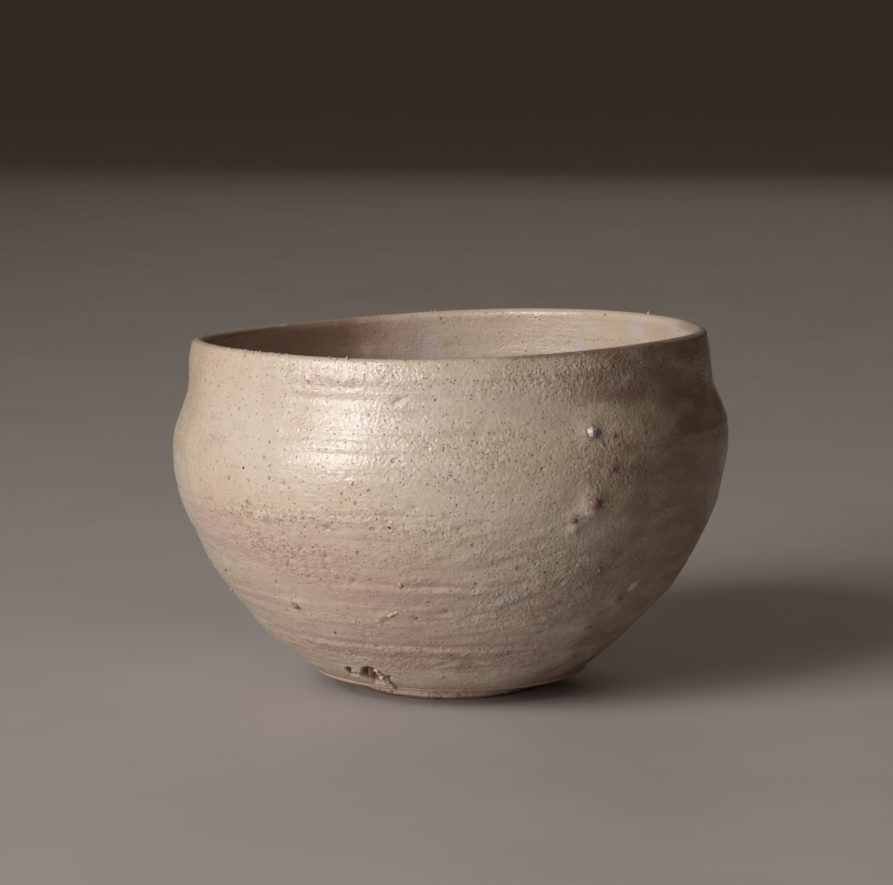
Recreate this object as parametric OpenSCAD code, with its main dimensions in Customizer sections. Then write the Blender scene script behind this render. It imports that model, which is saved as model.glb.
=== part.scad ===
// A hand-thrown stoneware tea bowl for whisked tea.
// Millimetres, +Z up. The origin is on the table, under the middle of the foot.
// +Y is the back of the bowl and +X its right-hand side, where the lip stands higher.
// Angles round the bowl are in degrees from +X towards +Y.

/* [Outline] */
// Height of the lip, halfway between its low side and its high side
bowl_h = 79.4; // [66:0.2:95]
// Outside diameter at the shoulder, the widest line
shoulder_d = 124; // [104:1:149]
// Height of the widest line
shoulder_h = 55.8; // [46:0.2:60]
// Outside diameter at the hollow of the neck
neck_d = 116.6; // [98:0.2:120]
// How far the neck's hollow is below the lip
neck_drop = 7.6; // [3:0.2:10]
// Outside diameter just under the rounded lip
lip_d = 115; // [96:0.5:120]
// Extra height of the lip at its high side
lip_rise = 1.6; // [0:0.1:2.4]
// Outside diameter where the wall turns under to the foot
base_d = 62; // [52:0.5:74]
// Round of that turn
base_round = 0.7; // [0.5:0.1:1.2]
// How round the lower wall is: 1 is a straight cone, 3 a full curve
wall_fullness = 2.05; // [1.3:0.05:2.6]

/* [Wall] */
// Thickness at the lip, glaze included
lip_wall = 3; // [2.4:0.1:4]
// Thickness at the shoulder, glaze included
shoulder_wall = 4.4; // [3.6:0.1:6]
// Height of the inside floor above the table
floor_h = 13; // [12:0.5:16]
// How square the inside is: 2 is an ellipse, more is fuller
inside_fullness = 2.4; // [2:0.1:2.7]
// Diameter of the shallow pool in the middle of the floor
pool_d = 34; // [20:1:50]
// Depth of that pool
pool_depth = 1; // [0:0.1:1.5]
// Thickness of the fired glaze, inside and outside
glaze_t = 0.5; // [0.3:0.05:0.8]

/* [Foot] */
// Outside diameter of the foot ring on the table
foot_d = 41; // [34:0.5:49]
// Height of the foot ring, up to the slip
foot_h = 4.5; // [3.8:0.1:5.4]
// Width of the foot ring on the table
foot_wall = 4.6; // [3.6:0.1:6]
// How much wider the ring's outside is at its top
foot_flare = 1; // [0:0.1:2]
// Round on the ring's edges
foot_round = 0.8; // [0.3:0.1:1.2]
// Thickness of the slip that lutes the ring to the body
slip_t = 0.3; // [0.2:0.05:0.5]
// How far the slip climbs down the outside of the ring
slip_skirt = 0.7; // [0.4:0.1:1.2]
// How deep the ring sits in the body on its shallow side
socket_depth = 0.3; // [0.1:0.1:1]
// Depth of the hollow that is pared out of the body inside the ring
hollow_depth = 1.3; // [0.8:0.1:2]
// Slant of that hollow's side
hollow_slant = 2; // [0.5:0.5:4]

/* [Stones and beads] */
// Stones that show on the far side, besides the chosen ones in front
back_stones = 5; // [0:1:9]
// Dark iron grains, all round
grain_n = 14; // [0:1:24]
// Diameter of an iron grain
grain_d = 0.9; // [0.6:0.1:1]
// Milky beads of glaze, spread round the lower wall
bead_n = 4; // [1:1:6]
// Width of a bead of glaze
bead_w = 2; // [1.2:0.1:2.6]
// How far a bead stands out of the glaze round it
bead_proud = 0.4; // [0.2:0.05:0.6]
// Length of a bead
bead_l = 4; // [3:0.5:6]
// Diameter of a crumb of fired clay on the lip and on the foot
crumb_d = 1; // [0.6:0.1:1.2]

/* [Hidden] */
$fn = 96;

shoulder_r = shoulder_d / 2;
neck_r = neck_d / 2;
neck_h = bowl_h - neck_drop;
base_r = base_d / 2;
pool_r = pool_d / 2;
foot_r = foot_d / 2;
foot_in_r = foot_r - foot_wall;
foot_top_r = foot_r + foot_flare;
slip_r = foot_top_r + slip_t;
lean = asin(lip_rise / (lip_d / 2));
seat_h = foot_h + slip_t;
// The underside leans with the bowl and the seat is level, so the socket is deeper
// on the left. The wall's outline starts a rounded corner above the underside.
under_h = seat_h - socket_depth - slip_r * sin(lean);
base_h = under_h + base_round;
// The lip is a half round of this radius, on a wall that leans in from the neck.
lip_round = lip_wall / 2;
lip_c = [lip_d / 2 - lip_round, bowl_h - lip_round];
golden = 137.5;

// Outside radius at a height: a full curve up to the shoulder, an S curve into the
// neck, then the last stretch up to the lip.
function ease(t) = (1 - cos(180 * t)) / 2;
function lower_r(h) =
    base_r + (shoulder_r - base_r) * (1 - pow(1 - (h - base_h) / (shoulder_h - base_h), wall_fullness));
function upper_r(h) =
    shoulder_r - (shoulder_r - neck_r) * ease((h - shoulder_h) / (neck_h - shoulder_h));
function lip_r(h) =
    neck_r - (neck_r - lip_d / 2) * pow((h - neck_h) / (bowl_h - neck_h), 2);
function wall_r(h) =
    h < shoulder_h ? lower_r(h) : h < neck_h ? upper_r(h) : lip_r(h);

// Wall thickness above the shoulder, thinning to the lip
function wall_t(h) =
    shoulder_wall - (shoulder_wall - lip_wall) * ease(min(1, (h - shoulder_h) / (neck_h - shoulder_h)));
// The inside is a full bowl up to the shoulder, and above it the outside less the wall.
inside_r = shoulder_r - shoulder_wall;
function inner_r(h) = wall_r(h) - wall_t(h);
// Height of the inside below the shoulder, at a radius, with the pool sunk in its middle
function full_bowl(t) = pow(1 - pow(t, inside_fullness), 1 / inside_fullness);
function floor_z(r) =
    shoulder_h - (shoulder_h - floor_h) * full_bowl(r / inside_r)
    - (r < pool_r ? pool_depth * (1 - ease(r / pool_r)) : 0);

// The outside, from the turn at the base up to the crest of the lip. The steps get
// shorter towards the base, where the wall turns fastest.
wall_steps = 15;
neck_steps = 10;
lip_steps = 5;
step_growth = 1.2;
function wall_height(t) = base_h + (shoulder_h - base_h) * pow(t, step_growth);
outer_line = concat(
    [for (i = [0 : wall_steps - 1]) let (h = wall_height(i / wall_steps)) [lower_r(h), h]],
    [for (i = [0 : neck_steps - 1])
        let (h = shoulder_h + (lip_c[1] - shoulder_h) * i / neck_steps) [wall_r(h), h]],
    [for (i = [0 : lip_steps]) lip_c + lip_round * [cos(90 * i / lip_steps), sin(90 * i / lip_steps)]]
);
// The inside, from the crest of the lip down to the middle of the floor. The bowl is
// cut at equal turns of its own curve.
rim_steps = 8;
bowl_steps = 14;
pool_steps = 5;
inner_line = concat(
    [for (i = [0 : lip_steps]) lip_c + lip_round * [cos(90 + 90 * i / lip_steps), sin(90 + 90 * i / lip_steps)]],
    [for (i = [1 : rim_steps])
        let (h = lip_c[1] - (lip_c[1] - shoulder_h) * i / rim_steps) [inner_r(h), h]],
    [for (i = [1 : bowl_steps])
        let (r = inside_r * cos(90 * i / bowl_steps)) if (r > pool_r) [r, floor_z(r)]],
    [for (i = [0 : pool_steps]) let (r = pool_r * (1 - i / pool_steps)) [r, floor_z(r)]]
);

// A line moved sideways by d, square to its own direction at each point. The left of
// the way along it is positive. The crest and the middle stay on their own verticals.
function way(line, i) = line[min(i + 1, len(line) - 1)] - line[max(i - 1, 0)];
function left_of(v) = [-v[1], v[0]] / norm(v);
function inset(line, d) = [for (i = [0 : len(line) - 1]) line[i] + d * left_of(way(line, i))];
crest_under = [lip_c[0], bowl_h - glaze_t];
outer_raw = inset(outer_line, glaze_t);
inner_raw = inset(inner_line, glaze_t);
clay_outer = concat([for (i = [0 : len(outer_raw) - 2]) outer_raw[i]], [crest_under]);
clay_inner = concat(
    [crest_under],
    [for (i = [1 : len(inner_raw) - 2]) inner_raw[i]],
    [[0, inner_raw[len(inner_raw) - 1][1]]]
);
function backwards(line) = [for (i = [len(line) - 1 : -1 : 0]) line[i]];
function all_but_first(line) = [for (i = [1 : len(line) - 1]) line[i]];

// The body is set on its foot a little out of level. It leans about the middle of the
// shoulder, which stays over the middle of the foot.
module leaning() {
    translate([0, 0, shoulder_h]) rotate([0, -lean, 0]) translate([0, 0, -shoulder_h]) children();
}
module spun(points) {
    rotate_extrude() polygon(points);
}
// A place on the outside at an angle and height, moved out by some distance, with +Z
// pointing straight out of the wall
function wall_slope(h) = atan(wall_r(h + 0.5) - wall_r(h - 0.5));
module on_wall(angle, h, out = 0) {
    leaning() rotate([0, 0, angle]) translate([wall_r(h), 0, h])
        rotate([0, 90 + wall_slope(h), 0]) translate([0, 0, out]) children();
}
module ball(d) {
    sphere(d = d, $fn = 24);
}

// Stones in front: [angle, height, diameter]. The first one is white feldspar.
STONES = [[-61, 62.8, 2.4], [-56, 61.8, 1.4], [-61, 47.8, 3], [-57, 54.8, 1.6], [-65, 44.8, 1.8],
          [-56, 32.8, 1.4]];
// A quarter of each stone's diameter stands out of the wall.
stone_proud = 0.25;
module stone(angle, h, d) {
    on_wall(angle, h, (stone_proud - 0.5) * d) ball(d);
}
// What is scattered steps round by the golden angle, and up and down the wall by a
// shuffle: every stride-th of the levels in turn.
function level(i, stride, levels) = (i * stride) % levels;
// On the far side the stones start at this angle and height, and have this diameter.
back_start = 40;
back_low = 24.8;
back_climb = 7.3;
back_stone_d = 1.8;
module stones() {
    for (s = STONES) stone(s[0], s[1], s[2]);
    for (i = [0 : 1 : back_stones - 1])
        stone(back_start + golden * i, back_low + back_climb * level(i, 3, 6), back_stone_d);
}

// Iron grains sit half in the glaze, with a little glaze left under each.
grain_bed = 0.1;
grain_start = -122;
grain_low = 19;
grain_climb = 3.7;
module grains() {
    for (i = [0 : 1 : grain_n - 1])
        on_wall(grain_start + golden * i, grain_low + grain_climb * level(i, 5, 11),
                grain_d / 2 + grain_bed - glaze_t)
            ball(grain_d);
}

// Crumbs of clay stuck to the outer edge of the lip, half a glaze deep, by their angles
LIP_CRUMBS = [-146, -141, -129, -112, 35, 150];
crumb_drop = 0.6;
module lip_crumbs() {
    for (a = LIP_CRUMBS) on_wall(a, lip_c[1] - crumb_drop, (crumb_d - glaze_t) / 2) ball(crumb_d);
}
// Grit stuck halfway up the outside of the foot ring, a quarter sunk
FOOT_CRUMBS = [-100, -94, -66, 60, 170];
module foot_crumbs() {
    for (a = FOOT_CRUMBS)
        rotate([0, 0, a]) translate([foot_r + foot_flare / 2 + crumb_d / 4, 0, foot_h / 2])
            rotate([0, 90, 0]) ball(crumb_d);
}

// Where clay tore away when the foot was pared: hollows in the turn of the base, as
// [angle, height, diameter]
TEARS = [[-118, 7.3, 4.4], [-126.5, 7.3, 2.6]];
module tears() {
    for (t = TEARS) on_wall(t[0], t[1]) ball(t[2]);
}

// The ring's outline, with round edges where it meets the table
module ring_outline() {
    polygon(concat(
        [for (a = [0 : 15 : 90]) [foot_in_r + foot_round * (1 - sin(a)), foot_round * (1 - cos(a))]],
        [[foot_in_r, foot_h], [foot_top_r, foot_h]],
        [for (a = [90 : -15 : 0]) [foot_r - foot_round * (1 - sin(a)), foot_round * (1 - cos(a))]]
    ));
}

// The clay: everything between the two glazes, down to the underside of the base
clay_outline = concat(
    [[0, under_h], [base_r - base_round, under_h]],
    clay_outer,
    all_but_first(clay_inner)
);
module clay_body() {
    color("#b89a80") difference() {
        leaning() spun(clay_outline);
        cylinder(r = slip_r, h = seat_h);
        translate([0, 0, seat_h]) cylinder(r1 = foot_in_r, r2 = foot_in_r - hollow_slant, h = hollow_depth);
        stones();
        tears();
    }
}

module foot_ring() {
    color("#8e776d") difference() {
        rotate_extrude() ring_outline();
        foot_crumbs();
    }
}

// The slip fills the socket over the ring and squeezes out round its outside.
skirt_h = foot_h - slip_skirt;
skirt_r = foot_r + foot_flare * (skirt_h - foot_round) / (foot_h - foot_round);
module foot_slip() {
    color("#9c7a68") spun([
        [foot_in_r, foot_h], [foot_top_r, foot_h], [skirt_r, skirt_h],
        [slip_r, skirt_h], [slip_r, seat_h], [foot_in_r, seat_h]
    ]);
}

module outer_glaze() {
    color("#c9b59c") difference() {
        leaning() spun(concat(outer_line, backwards(clay_outer)));
        stones();
        grains();
        lip_crumbs();
        tears();
    }
}

module inner_glaze() {
    color("#bda88f") leaning() spun(concat(inner_line, backwards(clay_inner)));
}

module feldspar_stones() {
    color("#d8d0c8") stones();
}

module iron_grains() {
    color("#3a2c26") grains();
}

// A bead is the part of a fat round-ended rod that stands out of the wall.
bead_rod_r = (bead_w * bead_w / 4 + bead_proud * bead_proud) / (2 * bead_proud);
module bead(angle, h, tilt) {
    rod_l = bead_l - bead_w;
    on_wall(angle, h, bead_proud - bead_rod_r)
        rotate([0, 90, tilt]) {
            cylinder(r = bead_rod_r, h = rod_l, center = true);
            for (end = [-1, 1]) translate([0, 0, end * rod_l / 2]) sphere(r = bead_rod_r, $fn = 64);
        }
}
// The beads start at this angle, height and tilt, and each is higher and turned further.
bead_start = -42;
bead_low = 27.8;
bead_climb = 4;
bead_tilt = 20;
bead_turn = -25;
module glaze_drops() {
    color("#ddd6d2") difference() {
        for (i = [0 : 1 : bead_n - 1])
            bead(bead_start + golden * i, bead_low + bead_climb * i, bead_tilt + bead_turn * i);
        leaning() spun(concat([[0, base_h]], outer_line, [[0, bowl_h]]), $fn = 360);
    }
}

module lip_grit() {
    color("#c4a58e") lip_crumbs();
}

module foot_grit() {
    color("#cfc3b6") foot_crumbs();
}

clay_body();
foot_ring();
foot_slip();
outer_glaze();
inner_glaze();
feldspar_stones();
iron_grains();
glaze_drops();
lip_grit();
foot_grit();
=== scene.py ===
# %% [markdown]
# # A hand-thrown tea bowl
# This notebook builds the looks of a stoneware tea bowl round a fixed CAD frame. The real bowl is
# clay thrown on a wheel, set on a low foot ring with slip, dipped in a thin feldspar glaze and
# fired once. The frame gives every size and place, and nothing here moves it.

# %% Load the frame
import math
import bmesh
import bpy
import numpy as np
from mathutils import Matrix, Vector, noise
from mathutils.bvhtree import BVHTree


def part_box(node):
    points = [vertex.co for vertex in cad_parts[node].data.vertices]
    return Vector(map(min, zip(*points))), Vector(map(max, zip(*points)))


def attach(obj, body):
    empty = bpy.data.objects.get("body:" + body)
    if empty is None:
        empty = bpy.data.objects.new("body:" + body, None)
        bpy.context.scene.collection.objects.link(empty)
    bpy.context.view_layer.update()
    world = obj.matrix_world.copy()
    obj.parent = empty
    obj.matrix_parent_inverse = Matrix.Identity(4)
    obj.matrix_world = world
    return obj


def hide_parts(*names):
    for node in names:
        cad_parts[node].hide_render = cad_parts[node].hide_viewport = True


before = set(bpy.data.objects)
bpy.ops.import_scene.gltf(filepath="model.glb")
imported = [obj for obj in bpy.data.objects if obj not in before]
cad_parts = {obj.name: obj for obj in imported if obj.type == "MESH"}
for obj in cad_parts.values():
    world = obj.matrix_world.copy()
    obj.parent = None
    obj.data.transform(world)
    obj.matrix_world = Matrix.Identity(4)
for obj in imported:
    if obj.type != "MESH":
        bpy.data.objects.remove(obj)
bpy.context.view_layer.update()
MM = 0.001

# %% [markdown]
# ## The camera and the light
# The bowl is looked at from a little above its lip, from about five and a half bowl widths away,
# through a long lens. A long lens keeps the lip's ellipse as flat as the eye sees it across a tea
# room. The camera comes first, so that every later step can be judged in the same view.

# %% Set up the camera
scene = bpy.context.scene
CAMERA_SIDE = -0.77 * MM
CAMERA_AWAY = 680 * MM
CAMERA_HEIGHT = 144.8 * MM
CAMERA_DOWN = math.radians(7.57)
SENSOR, LENS = 36, 123.2
camera = bpy.data.objects.new("camera", bpy.data.cameras.new("camera"))
camera.data.sensor_width = SENSOR
camera.data.lens = LENS
camera.location = (CAMERA_SIDE, -CAMERA_AWAY, CAMERA_HEIGHT)
camera.rotation_euler = (math.pi / 2 - CAMERA_DOWN, 0, 0)
scene.collection.objects.link(camera)
scene.camera = camera
print("lens", LENS, "mm, camera", CAMERA_HEIGHT / MM, "mm above the table")

# %% [markdown]
# The bowl is lit the way a potter would show it: a single tall soft light, like a window, on the
# front left, a weak fill, and a wide weak light behind, so that the back can be looked at too. The
# one big light leaves the right-hand side in shade, which shows the roundness, and its reflection
# breaks up on the sandy skin. Two equal lights would be simpler but would flatten the surface.

# %% Add the lights
BOWL_MIDDLE = Vector((0, 0, 45 * MM))


def around(azimuth, distance, height):
    """A point at an angle round the bowl, in degrees from +X towards +Y."""
    a = math.radians(azimuth)
    return Vector((distance * math.cos(a), distance * math.sin(a), height))


def soft_light(name, place, size, power, colour):
    """A rectangular light that faces the middle of the bowl."""
    data = bpy.data.lights.new(name, "AREA")
    data.shape, data.size, data.size_y = "RECTANGLE", size[0], size[1]
    data.energy, data.color = power, colour
    lamp = bpy.data.objects.new(name, data)
    lamp.location = place
    lamp.rotation_euler = (BOWL_MIDDLE - place).to_track_quat("-Z", "Y").to_euler()
    scene.collection.objects.link(lamp)
    return lamp


window = soft_light("window", around(-137, 1.25, 0.56), (0.60, 1.05), 21.0, (0.89, 0.885, 0.92))
fill = soft_light("fill", around(-60, 1.6, 1.1), (1.4, 1.4), 0.30, (1.0, 0.88, 0.76))
behind = soft_light("behind", around(78, 1.9, 1.25), (1.8, 1.8), 3.5, (1.0, 0.85, 0.71))
print("window", window.data.energy, "W, fill", fill.data.energy, "W, behind", behind.data.energy, "W")

# %% [markdown]
# The room's own light is a warm glow, dimmer near the horizon than overhead. An even colour would
# need no nodes, but the floor's far edge would then stand against it as a hard line. Here a blend
# between two colours follows how steeply the eye looks up, and the edge melts away.

# %% Light the room
HORIZON_GLOW = (0.50, 0.375, 0.285)
OVERHEAD_GLOW = (0.95, 0.76, 0.61)
GLOW_RISE = (0.02, 0.5)
GLOW_STRENGTH = 0.058
world = bpy.data.worlds.new("room")
world.use_nodes = True
sky = world.node_tree.nodes["Background"]
direction, height, rise, tint = [world.node_tree.nodes.new("ShaderNode" + kind)
                                 for kind in ("TexCoord", "SeparateXYZ", "MapRange", "Mix")]
tint.data_type = "RGBA"
tint.inputs[6].default_value = (*HORIZON_GLOW, 1)
tint.inputs[7].default_value = (*OVERHEAD_GLOW, 1)
rise.inputs["From Min"].default_value, rise.inputs["From Max"].default_value = GLOW_RISE
for source, target in ((direction.outputs["Generated"], height.inputs[0]),
                       (height.outputs["Z"], rise.inputs["Value"]),
                       (rise.outputs["Result"], tint.inputs[0]), (tint.outputs[2], sky.inputs["Color"])):
    world.node_tree.links.new(source, target)
sky.inputs["Strength"].default_value = GLOW_STRENGTH
scene.world = world
scene.view_settings.view_transform = "Standard"
print("the room glows from", HORIZON_GLOW, "to", OVERHEAD_GLOW)

# %% [markdown]
# The floor is a wide disc with a soft satin finish, so the foot gets a contact shadow and the
# horizon is far away. A curved backdrop is the usual answer in a studio, but here the bowl is
# looked at from every side, and a backdrop would stand in the way.

# %% Lay the floor
FLOOR_RADIUS = 12.0
FLOOR_SIDES = 96


def new_mesh_object(name, verts, faces):
    """A mesh object from points in metres and lists of their numbers."""
    mesh = bpy.data.meshes.new(name)
    mesh.from_pydata([tuple(v) for v in verts], [], faces)
    mesh.update()
    piece = bpy.data.objects.new(name, mesh)
    scene.collection.objects.link(piece)
    return piece


floor_rim = [around(360 * i / FLOOR_SIDES, FLOOR_RADIUS, 0) for i in range(FLOOR_SIDES)]
floor = new_mesh_object("floor", floor_rim, [list(range(FLOOR_SIDES))])
print("floor", 2 * FLOOR_RADIUS, "m across")

# %% [markdown]
# ## Reading the thrown outline from the frame
# The wheel makes a body of revolution, and everything else on this bowl is what happened to that
# form afterwards: it leaned, wobbled, was ribbed, trimmed and torn. So the first thing to know is
# the outline, as a radius for each height. It could be typed in again, but then the looks and the
# CAD could drift apart. It is measured instead: rays are shot at the CAD glaze and the distance to
# the axis is kept. The CAD body leans, and the lean is taken out first, so that the rays measure
# the form as it came off the wheel.

# %% Measure the lean of the CAD body
def mesh_points(node):
    """A CAD node's corners in mm, as rows."""
    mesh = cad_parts[node].data
    points = np.empty(len(mesh.vertices) * 3)
    mesh.vertices.foreach_get("co", points)
    return points.reshape(-1, 3) / MM


glaze_points = mesh_points("outer_glaze")
MIDDLE_BAND = 1.5
along_x = glaze_points[np.abs(glaze_points[:, 1]) < MIDDLE_BAND]
lip_right = max(along_x[along_x[:, 0] > 0].tolist(), key=lambda p: p[2])
lip_left = max(along_x[along_x[:, 0] < 0].tolist(), key=lambda p: p[2])
LEAN = math.atan2(lip_right[2] - lip_left[2], lip_right[0] - lip_left[0])
LIP_H = (lip_right[2] + lip_left[2]) / 2
PIVOT_H = LIP_H + (lip_right[0] + lip_left[0]) / 2 / math.sin(LEAN)
print("lean", round(math.degrees(LEAN), 2), "degrees, lip", round(LIP_H, 2), "mm high")

# %% Stand the CAD body upright
def upright(points):
    """Points of the CAD body turned back to how they stood on the wheel."""
    x, z = points[:, 0], points[:, 2] - PIVOT_H
    c, s = math.cos(LEAN), math.sin(LEAN)
    return np.column_stack([x * c + z * s, points[:, 1], PIVOT_H + z * c - x * s])


def ray_target(node):
    """A CAD node, upright, ready to be hit by rays."""
    faces = [list(p.vertices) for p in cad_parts[node].data.polygons]
    return BVHTree.FromPolygons(upright(mesh_points(node)).tolist(), faces)


outside_target, inside_target = ray_target("outer_glaze"), ray_target("inner_glaze")
GLAZE_LOW = upright(glaze_points)[:, 2].min()
print("upright glaze from", round(GLAZE_LOW, 2), "mm up; it leans about", round(PIVOT_H, 1), "mm")

# %% Shoot rays at the outside and the inside
RAY_TURNS = [7 + 30 * i for i in range(12)]


def median_hit(target, rays):
    """The middle radius and height of the places that rays hit, past any stone or tear."""
    hits = [target.ray_cast(start, way)[0] for start, way in rays]
    hits = [h for h in hits if h is not None]
    return float(np.median([h.xy.length for h in hits])), float(np.median([h.z for h in hits]))


def outside_radius(height):
    rays = [(around(t, 90, height), -around(t, 1, 0)) for t in RAY_TURNS]
    return median_hit(outside_target, rays)[0]


def inside_radius(height):
    rays = [(Vector((0, 0, height)), around(t, 1, 0)) for t in RAY_TURNS]
    return median_hit(inside_target, rays)[0]


def inside_height(radius):
    rays = [(around(t, radius, 60), Vector((0, 0, -1))) for t in RAY_TURNS]
    return median_hit(inside_target, rays)[1]


LIP_ROUND = (outside_radius(LIP_H - 2) - inside_radius(LIP_H - 2)) / 2
LIP_MID_H = LIP_H - LIP_ROUND
SHOULDER_H = max(np.arange(40, 70, 0.5), key=outside_radius)
print("lip", round(2 * LIP_ROUND, 2), "mm thick, widest at", SHOULDER_H, "mm")

# %% [markdown]
# A throwing rib leaves a smooth curve, and the CAD outline is a chain of short straight cuts. The
# measured radii are therefore blurred a little along their height before they are used. A spline
# through the corners would do the same, but it needs the corners' places. Every later piece asks
# these curves where the wall is, at any height, and how far along the wall that is.

# %% Smooth the outline
def blurred(values, reach):
    """Values smoothed with their neighbours, with both ends kept in place."""
    weights = np.hanning(2 * reach + 3)[1:-1]
    ends = [2 * values[0] - values[reach:0:-1], values, 2 * values[-1] - values[-2:-reach - 2:-1]]
    return np.convolve(np.concatenate(ends), weights / weights.sum(), mode="valid")


OUT_H = np.linspace(GLAZE_LOW + 0.02, LIP_MID_H, 300)
OUT_R = blurred(np.array([outside_radius(h) for h in OUT_H]), 12)
OUT_S = np.concatenate([[0], np.cumsum(np.hypot(np.diff(OUT_R), np.diff(OUT_H)))])
OUT_SLOPE = np.gradient(OUT_R, OUT_H)
BASE_R = OUT_R[0]
print("outside: base radius", round(BASE_R, 1), "shoulder", round(OUT_R.max(), 1), "mm,")
print("         wall", round(OUT_S[-1], 1), "mm long")

# %% Smooth the inside
FLAT_R = 34
in_low = [(r, inside_height(r)) for r in np.linspace(0.3, FLAT_R, 80)]
in_high = [(inside_radius(h), h) for h in np.linspace(in_low[-1][1] + 0.8, LIP_MID_H, 130)]
in_line = np.array(in_low + in_high)[::-1]
in_line[-1, 0] = 0
IN_S = np.concatenate([[0], np.cumsum(np.hypot(*np.diff(in_line, axis=0).T))])
even = np.linspace(0, IN_S[-1], 240)
IN_R = blurred(np.interp(even, IN_S, in_line[:, 0]), 8)
IN_H = blurred(np.interp(even, IN_S, in_line[:, 1]), 8)
IN_S = even
print("inside: floor", round(IN_H[-1], 1), "mm above the table, wall", round(IN_S[-1], 1), "mm long")

# %% [markdown]
# ## What happened to the clay
# A thrown wall is never smooth. Fingers leave low rings, the rib leaves lines, trimming the lower
# wall drags coarse sand out and tears the skin, and small stones swell it in the fire. These marks
# are made as one relief: the distance, at each angle and height, that the wall stands out of the
# smooth outline. A displacement modifier with a texture could do it, but a function in code can
# be used by the glaze, the clay under it and every small piece on it, so that they all fit.

# %% Noise and windows
def clay_noise(points, lump, seed, flat=1.0):
    """Smooth noise from -1 to 1 at points in mm. Lumps are flat times as wide as they are high."""
    scaled = points / np.array([lump * flat, lump * flat, lump]) + 31.7 * seed
    return np.array([noise.noise(p) for p in scaled.tolist()])


def soft_step(value, low, high):
    """0 below low, 1 above high and smooth between."""
    t = np.clip((value - low) / (high - low), 0, 1)
    return t * t * (3 - 2 * t)


def turn_apart(a, b):
    """Angle from b to a, from -180 to 180 degrees."""
    return (a - b + 180) % 360 - 180


def turn_window(a, start, end, fade=10):
    """1 between two angles, fading out past both."""
    middle, half = (start + end) / 2, (end - start) / 2
    return 1 - soft_step(np.abs(turn_apart(a, middle)), half, half + fade)


print("noise at three places:", clay_noise(np.array([[1, 2, 3], [9, 9, 9], [30, 1, 2.0]]), 8, 1).round(2))

# %% Places on the outside
def turned_points(r, a, h):
    """Points in mm from radii, angles in degrees and heights."""
    turn = np.radians(a)
    return np.column_stack([r * np.cos(turn), r * np.sin(turn), h])


def wall_point(a, h):
    """Points in mm on the smooth outside at angles and heights."""
    return turned_points(np.interp(h, OUT_H, OUT_R), a, h)


def spot(a, h, at, size, tilt=0):
    """1 at a place on the wall, falling to 0.37 at an ellipse of size (half width, half height)."""
    across = np.radians(turn_apart(a, at[0])) * np.interp(at[1], OUT_H, OUT_R)
    along = np.interp(h, OUT_H, OUT_S) - np.interp(at[1], OUT_H, OUT_S)
    c, s = math.cos(math.radians(tilt)), math.sin(math.radians(tilt))
    return np.exp(-((across * c + along * s) / size[0]) ** 2 - ((along * c - across * s) / size[1]) ** 2)


def zones(a, h, places):
    """The strongest of several soft ellipses at each place."""
    total = np.zeros(len(a))
    for at_a, at_h, half_w, half_h, tilt, strength in places:
        total = np.maximum(total, strength * spot(a, h, (at_a, at_h), (half_w, half_h), tilt))
    return total


print("front of the shoulder:", wall_point(np.array([-90.0]), np.array([SHOULDER_H])).round(1))

# %% [markdown]
# The lines on the wheel-thrown wall are named one by one: how high each runs, how far it stands
# out or is cut in, how wide it is, and over which part of the turn it shows. Rings made by a
# repeating wave would be quicker, but no two finger marks are the same height or depth.

# %% Rings, ribbing lines and trimming lines
# (height, stands out by, half width, from angle, to angle)
LINES = [
    (75.2, 0.12, 0.7, -140, -60), (73.4, -0.20, 0.5, -128, -84), (72.4, 0.14, 0.6, -126, -88),
    (70.8, -0.16, 0.5, -124, -90), (69.6, 0.16, 0.8, -150, -90), (67.2, -0.14, 0.8, -142, -80),
    (64.3, 0.24, 0.55, -126, -92), (63.3, -0.34, 0.42, -126, -88), (61.2, 0.20, 0.7, -135, -92),
    (59.7, -0.26, 0.5, -128, -86), (59.8, 0.26, 0.9, -52, 30), (58.4, -0.14, 0.8, -55, 20),
    (58.3, 0.12, 1.1, 60, 150), (63.6, -0.12, 0.8, 70, 190), (55.6, -0.10, 0.6, -150, -95),
    (47.1, -0.20, 0.5, -190, -100), (46, 0.10, 0.8, -190, -100), (38.8, 0.08, 1.0, -170, -60),
    (41.6, -0.12, 0.5, -150, -110), (34.9, -0.10, 0.5, -135, -90), (31.4, -0.32, 0.45, -112, -76),
    (30.2, 0.18, 0.7, -118, -70), (26.8, -0.12, 0.5, -150, -100), (21.8, 0.10, 0.6, -140, -60),
    (16.4, -0.32, 0.5, -142, -52), (15.2, 0.16, 0.5, -142, -52), (13.2, -0.14, 0.4, -130, -40),
    (19, -0.20, 0.5, -75, -20), (24.8, -0.26, 0.5, -84, -30), (33.8, -0.18, 0.6, -70, -20),
    (28.8, -0.16, 0.5, 20, 110), (17.8, -0.18, 0.5, 60, 200), (40.8, 0.10, 0.9, 0, 120),
    (23.8, -0.12, 0.5, 120, 230),
]
LINE_SPIRAL = 1.2


def thrown_lines(a, h, points):
    """Relief of the named lines, in mm. They climb slowly, and waver as the hand did."""
    waver = h + 0.5 * clay_noise(points, 26, 3) + LINE_SPIRAL * turn_apart(a, -100) / 360
    broken = 0.65 + 0.5 * clay_noise(points, 6, 4, flat=3)
    total = np.zeros(len(a))
    for height, out, half, start, end in LINES:
        total += out * np.exp(-((waver - height) / half) ** 2) * turn_window(a, start, end, 14)
    return total * broken


print(len(LINES), "lines")

# %% [markdown]
# Between the lines the wall has wide soft lumps from the fingers, smaller ones from coarse sand
# just under the skin, and streaks where a tool dragged the sand sideways. The streaks are the same
# noise, squashed flat. They are stronger low down, where the bowl was trimmed leather-hard. The
# sand isn't even: it gathers in bands and patches, which are named like the lines are, and the
# glaze is rougher and more speckled over them.

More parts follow.
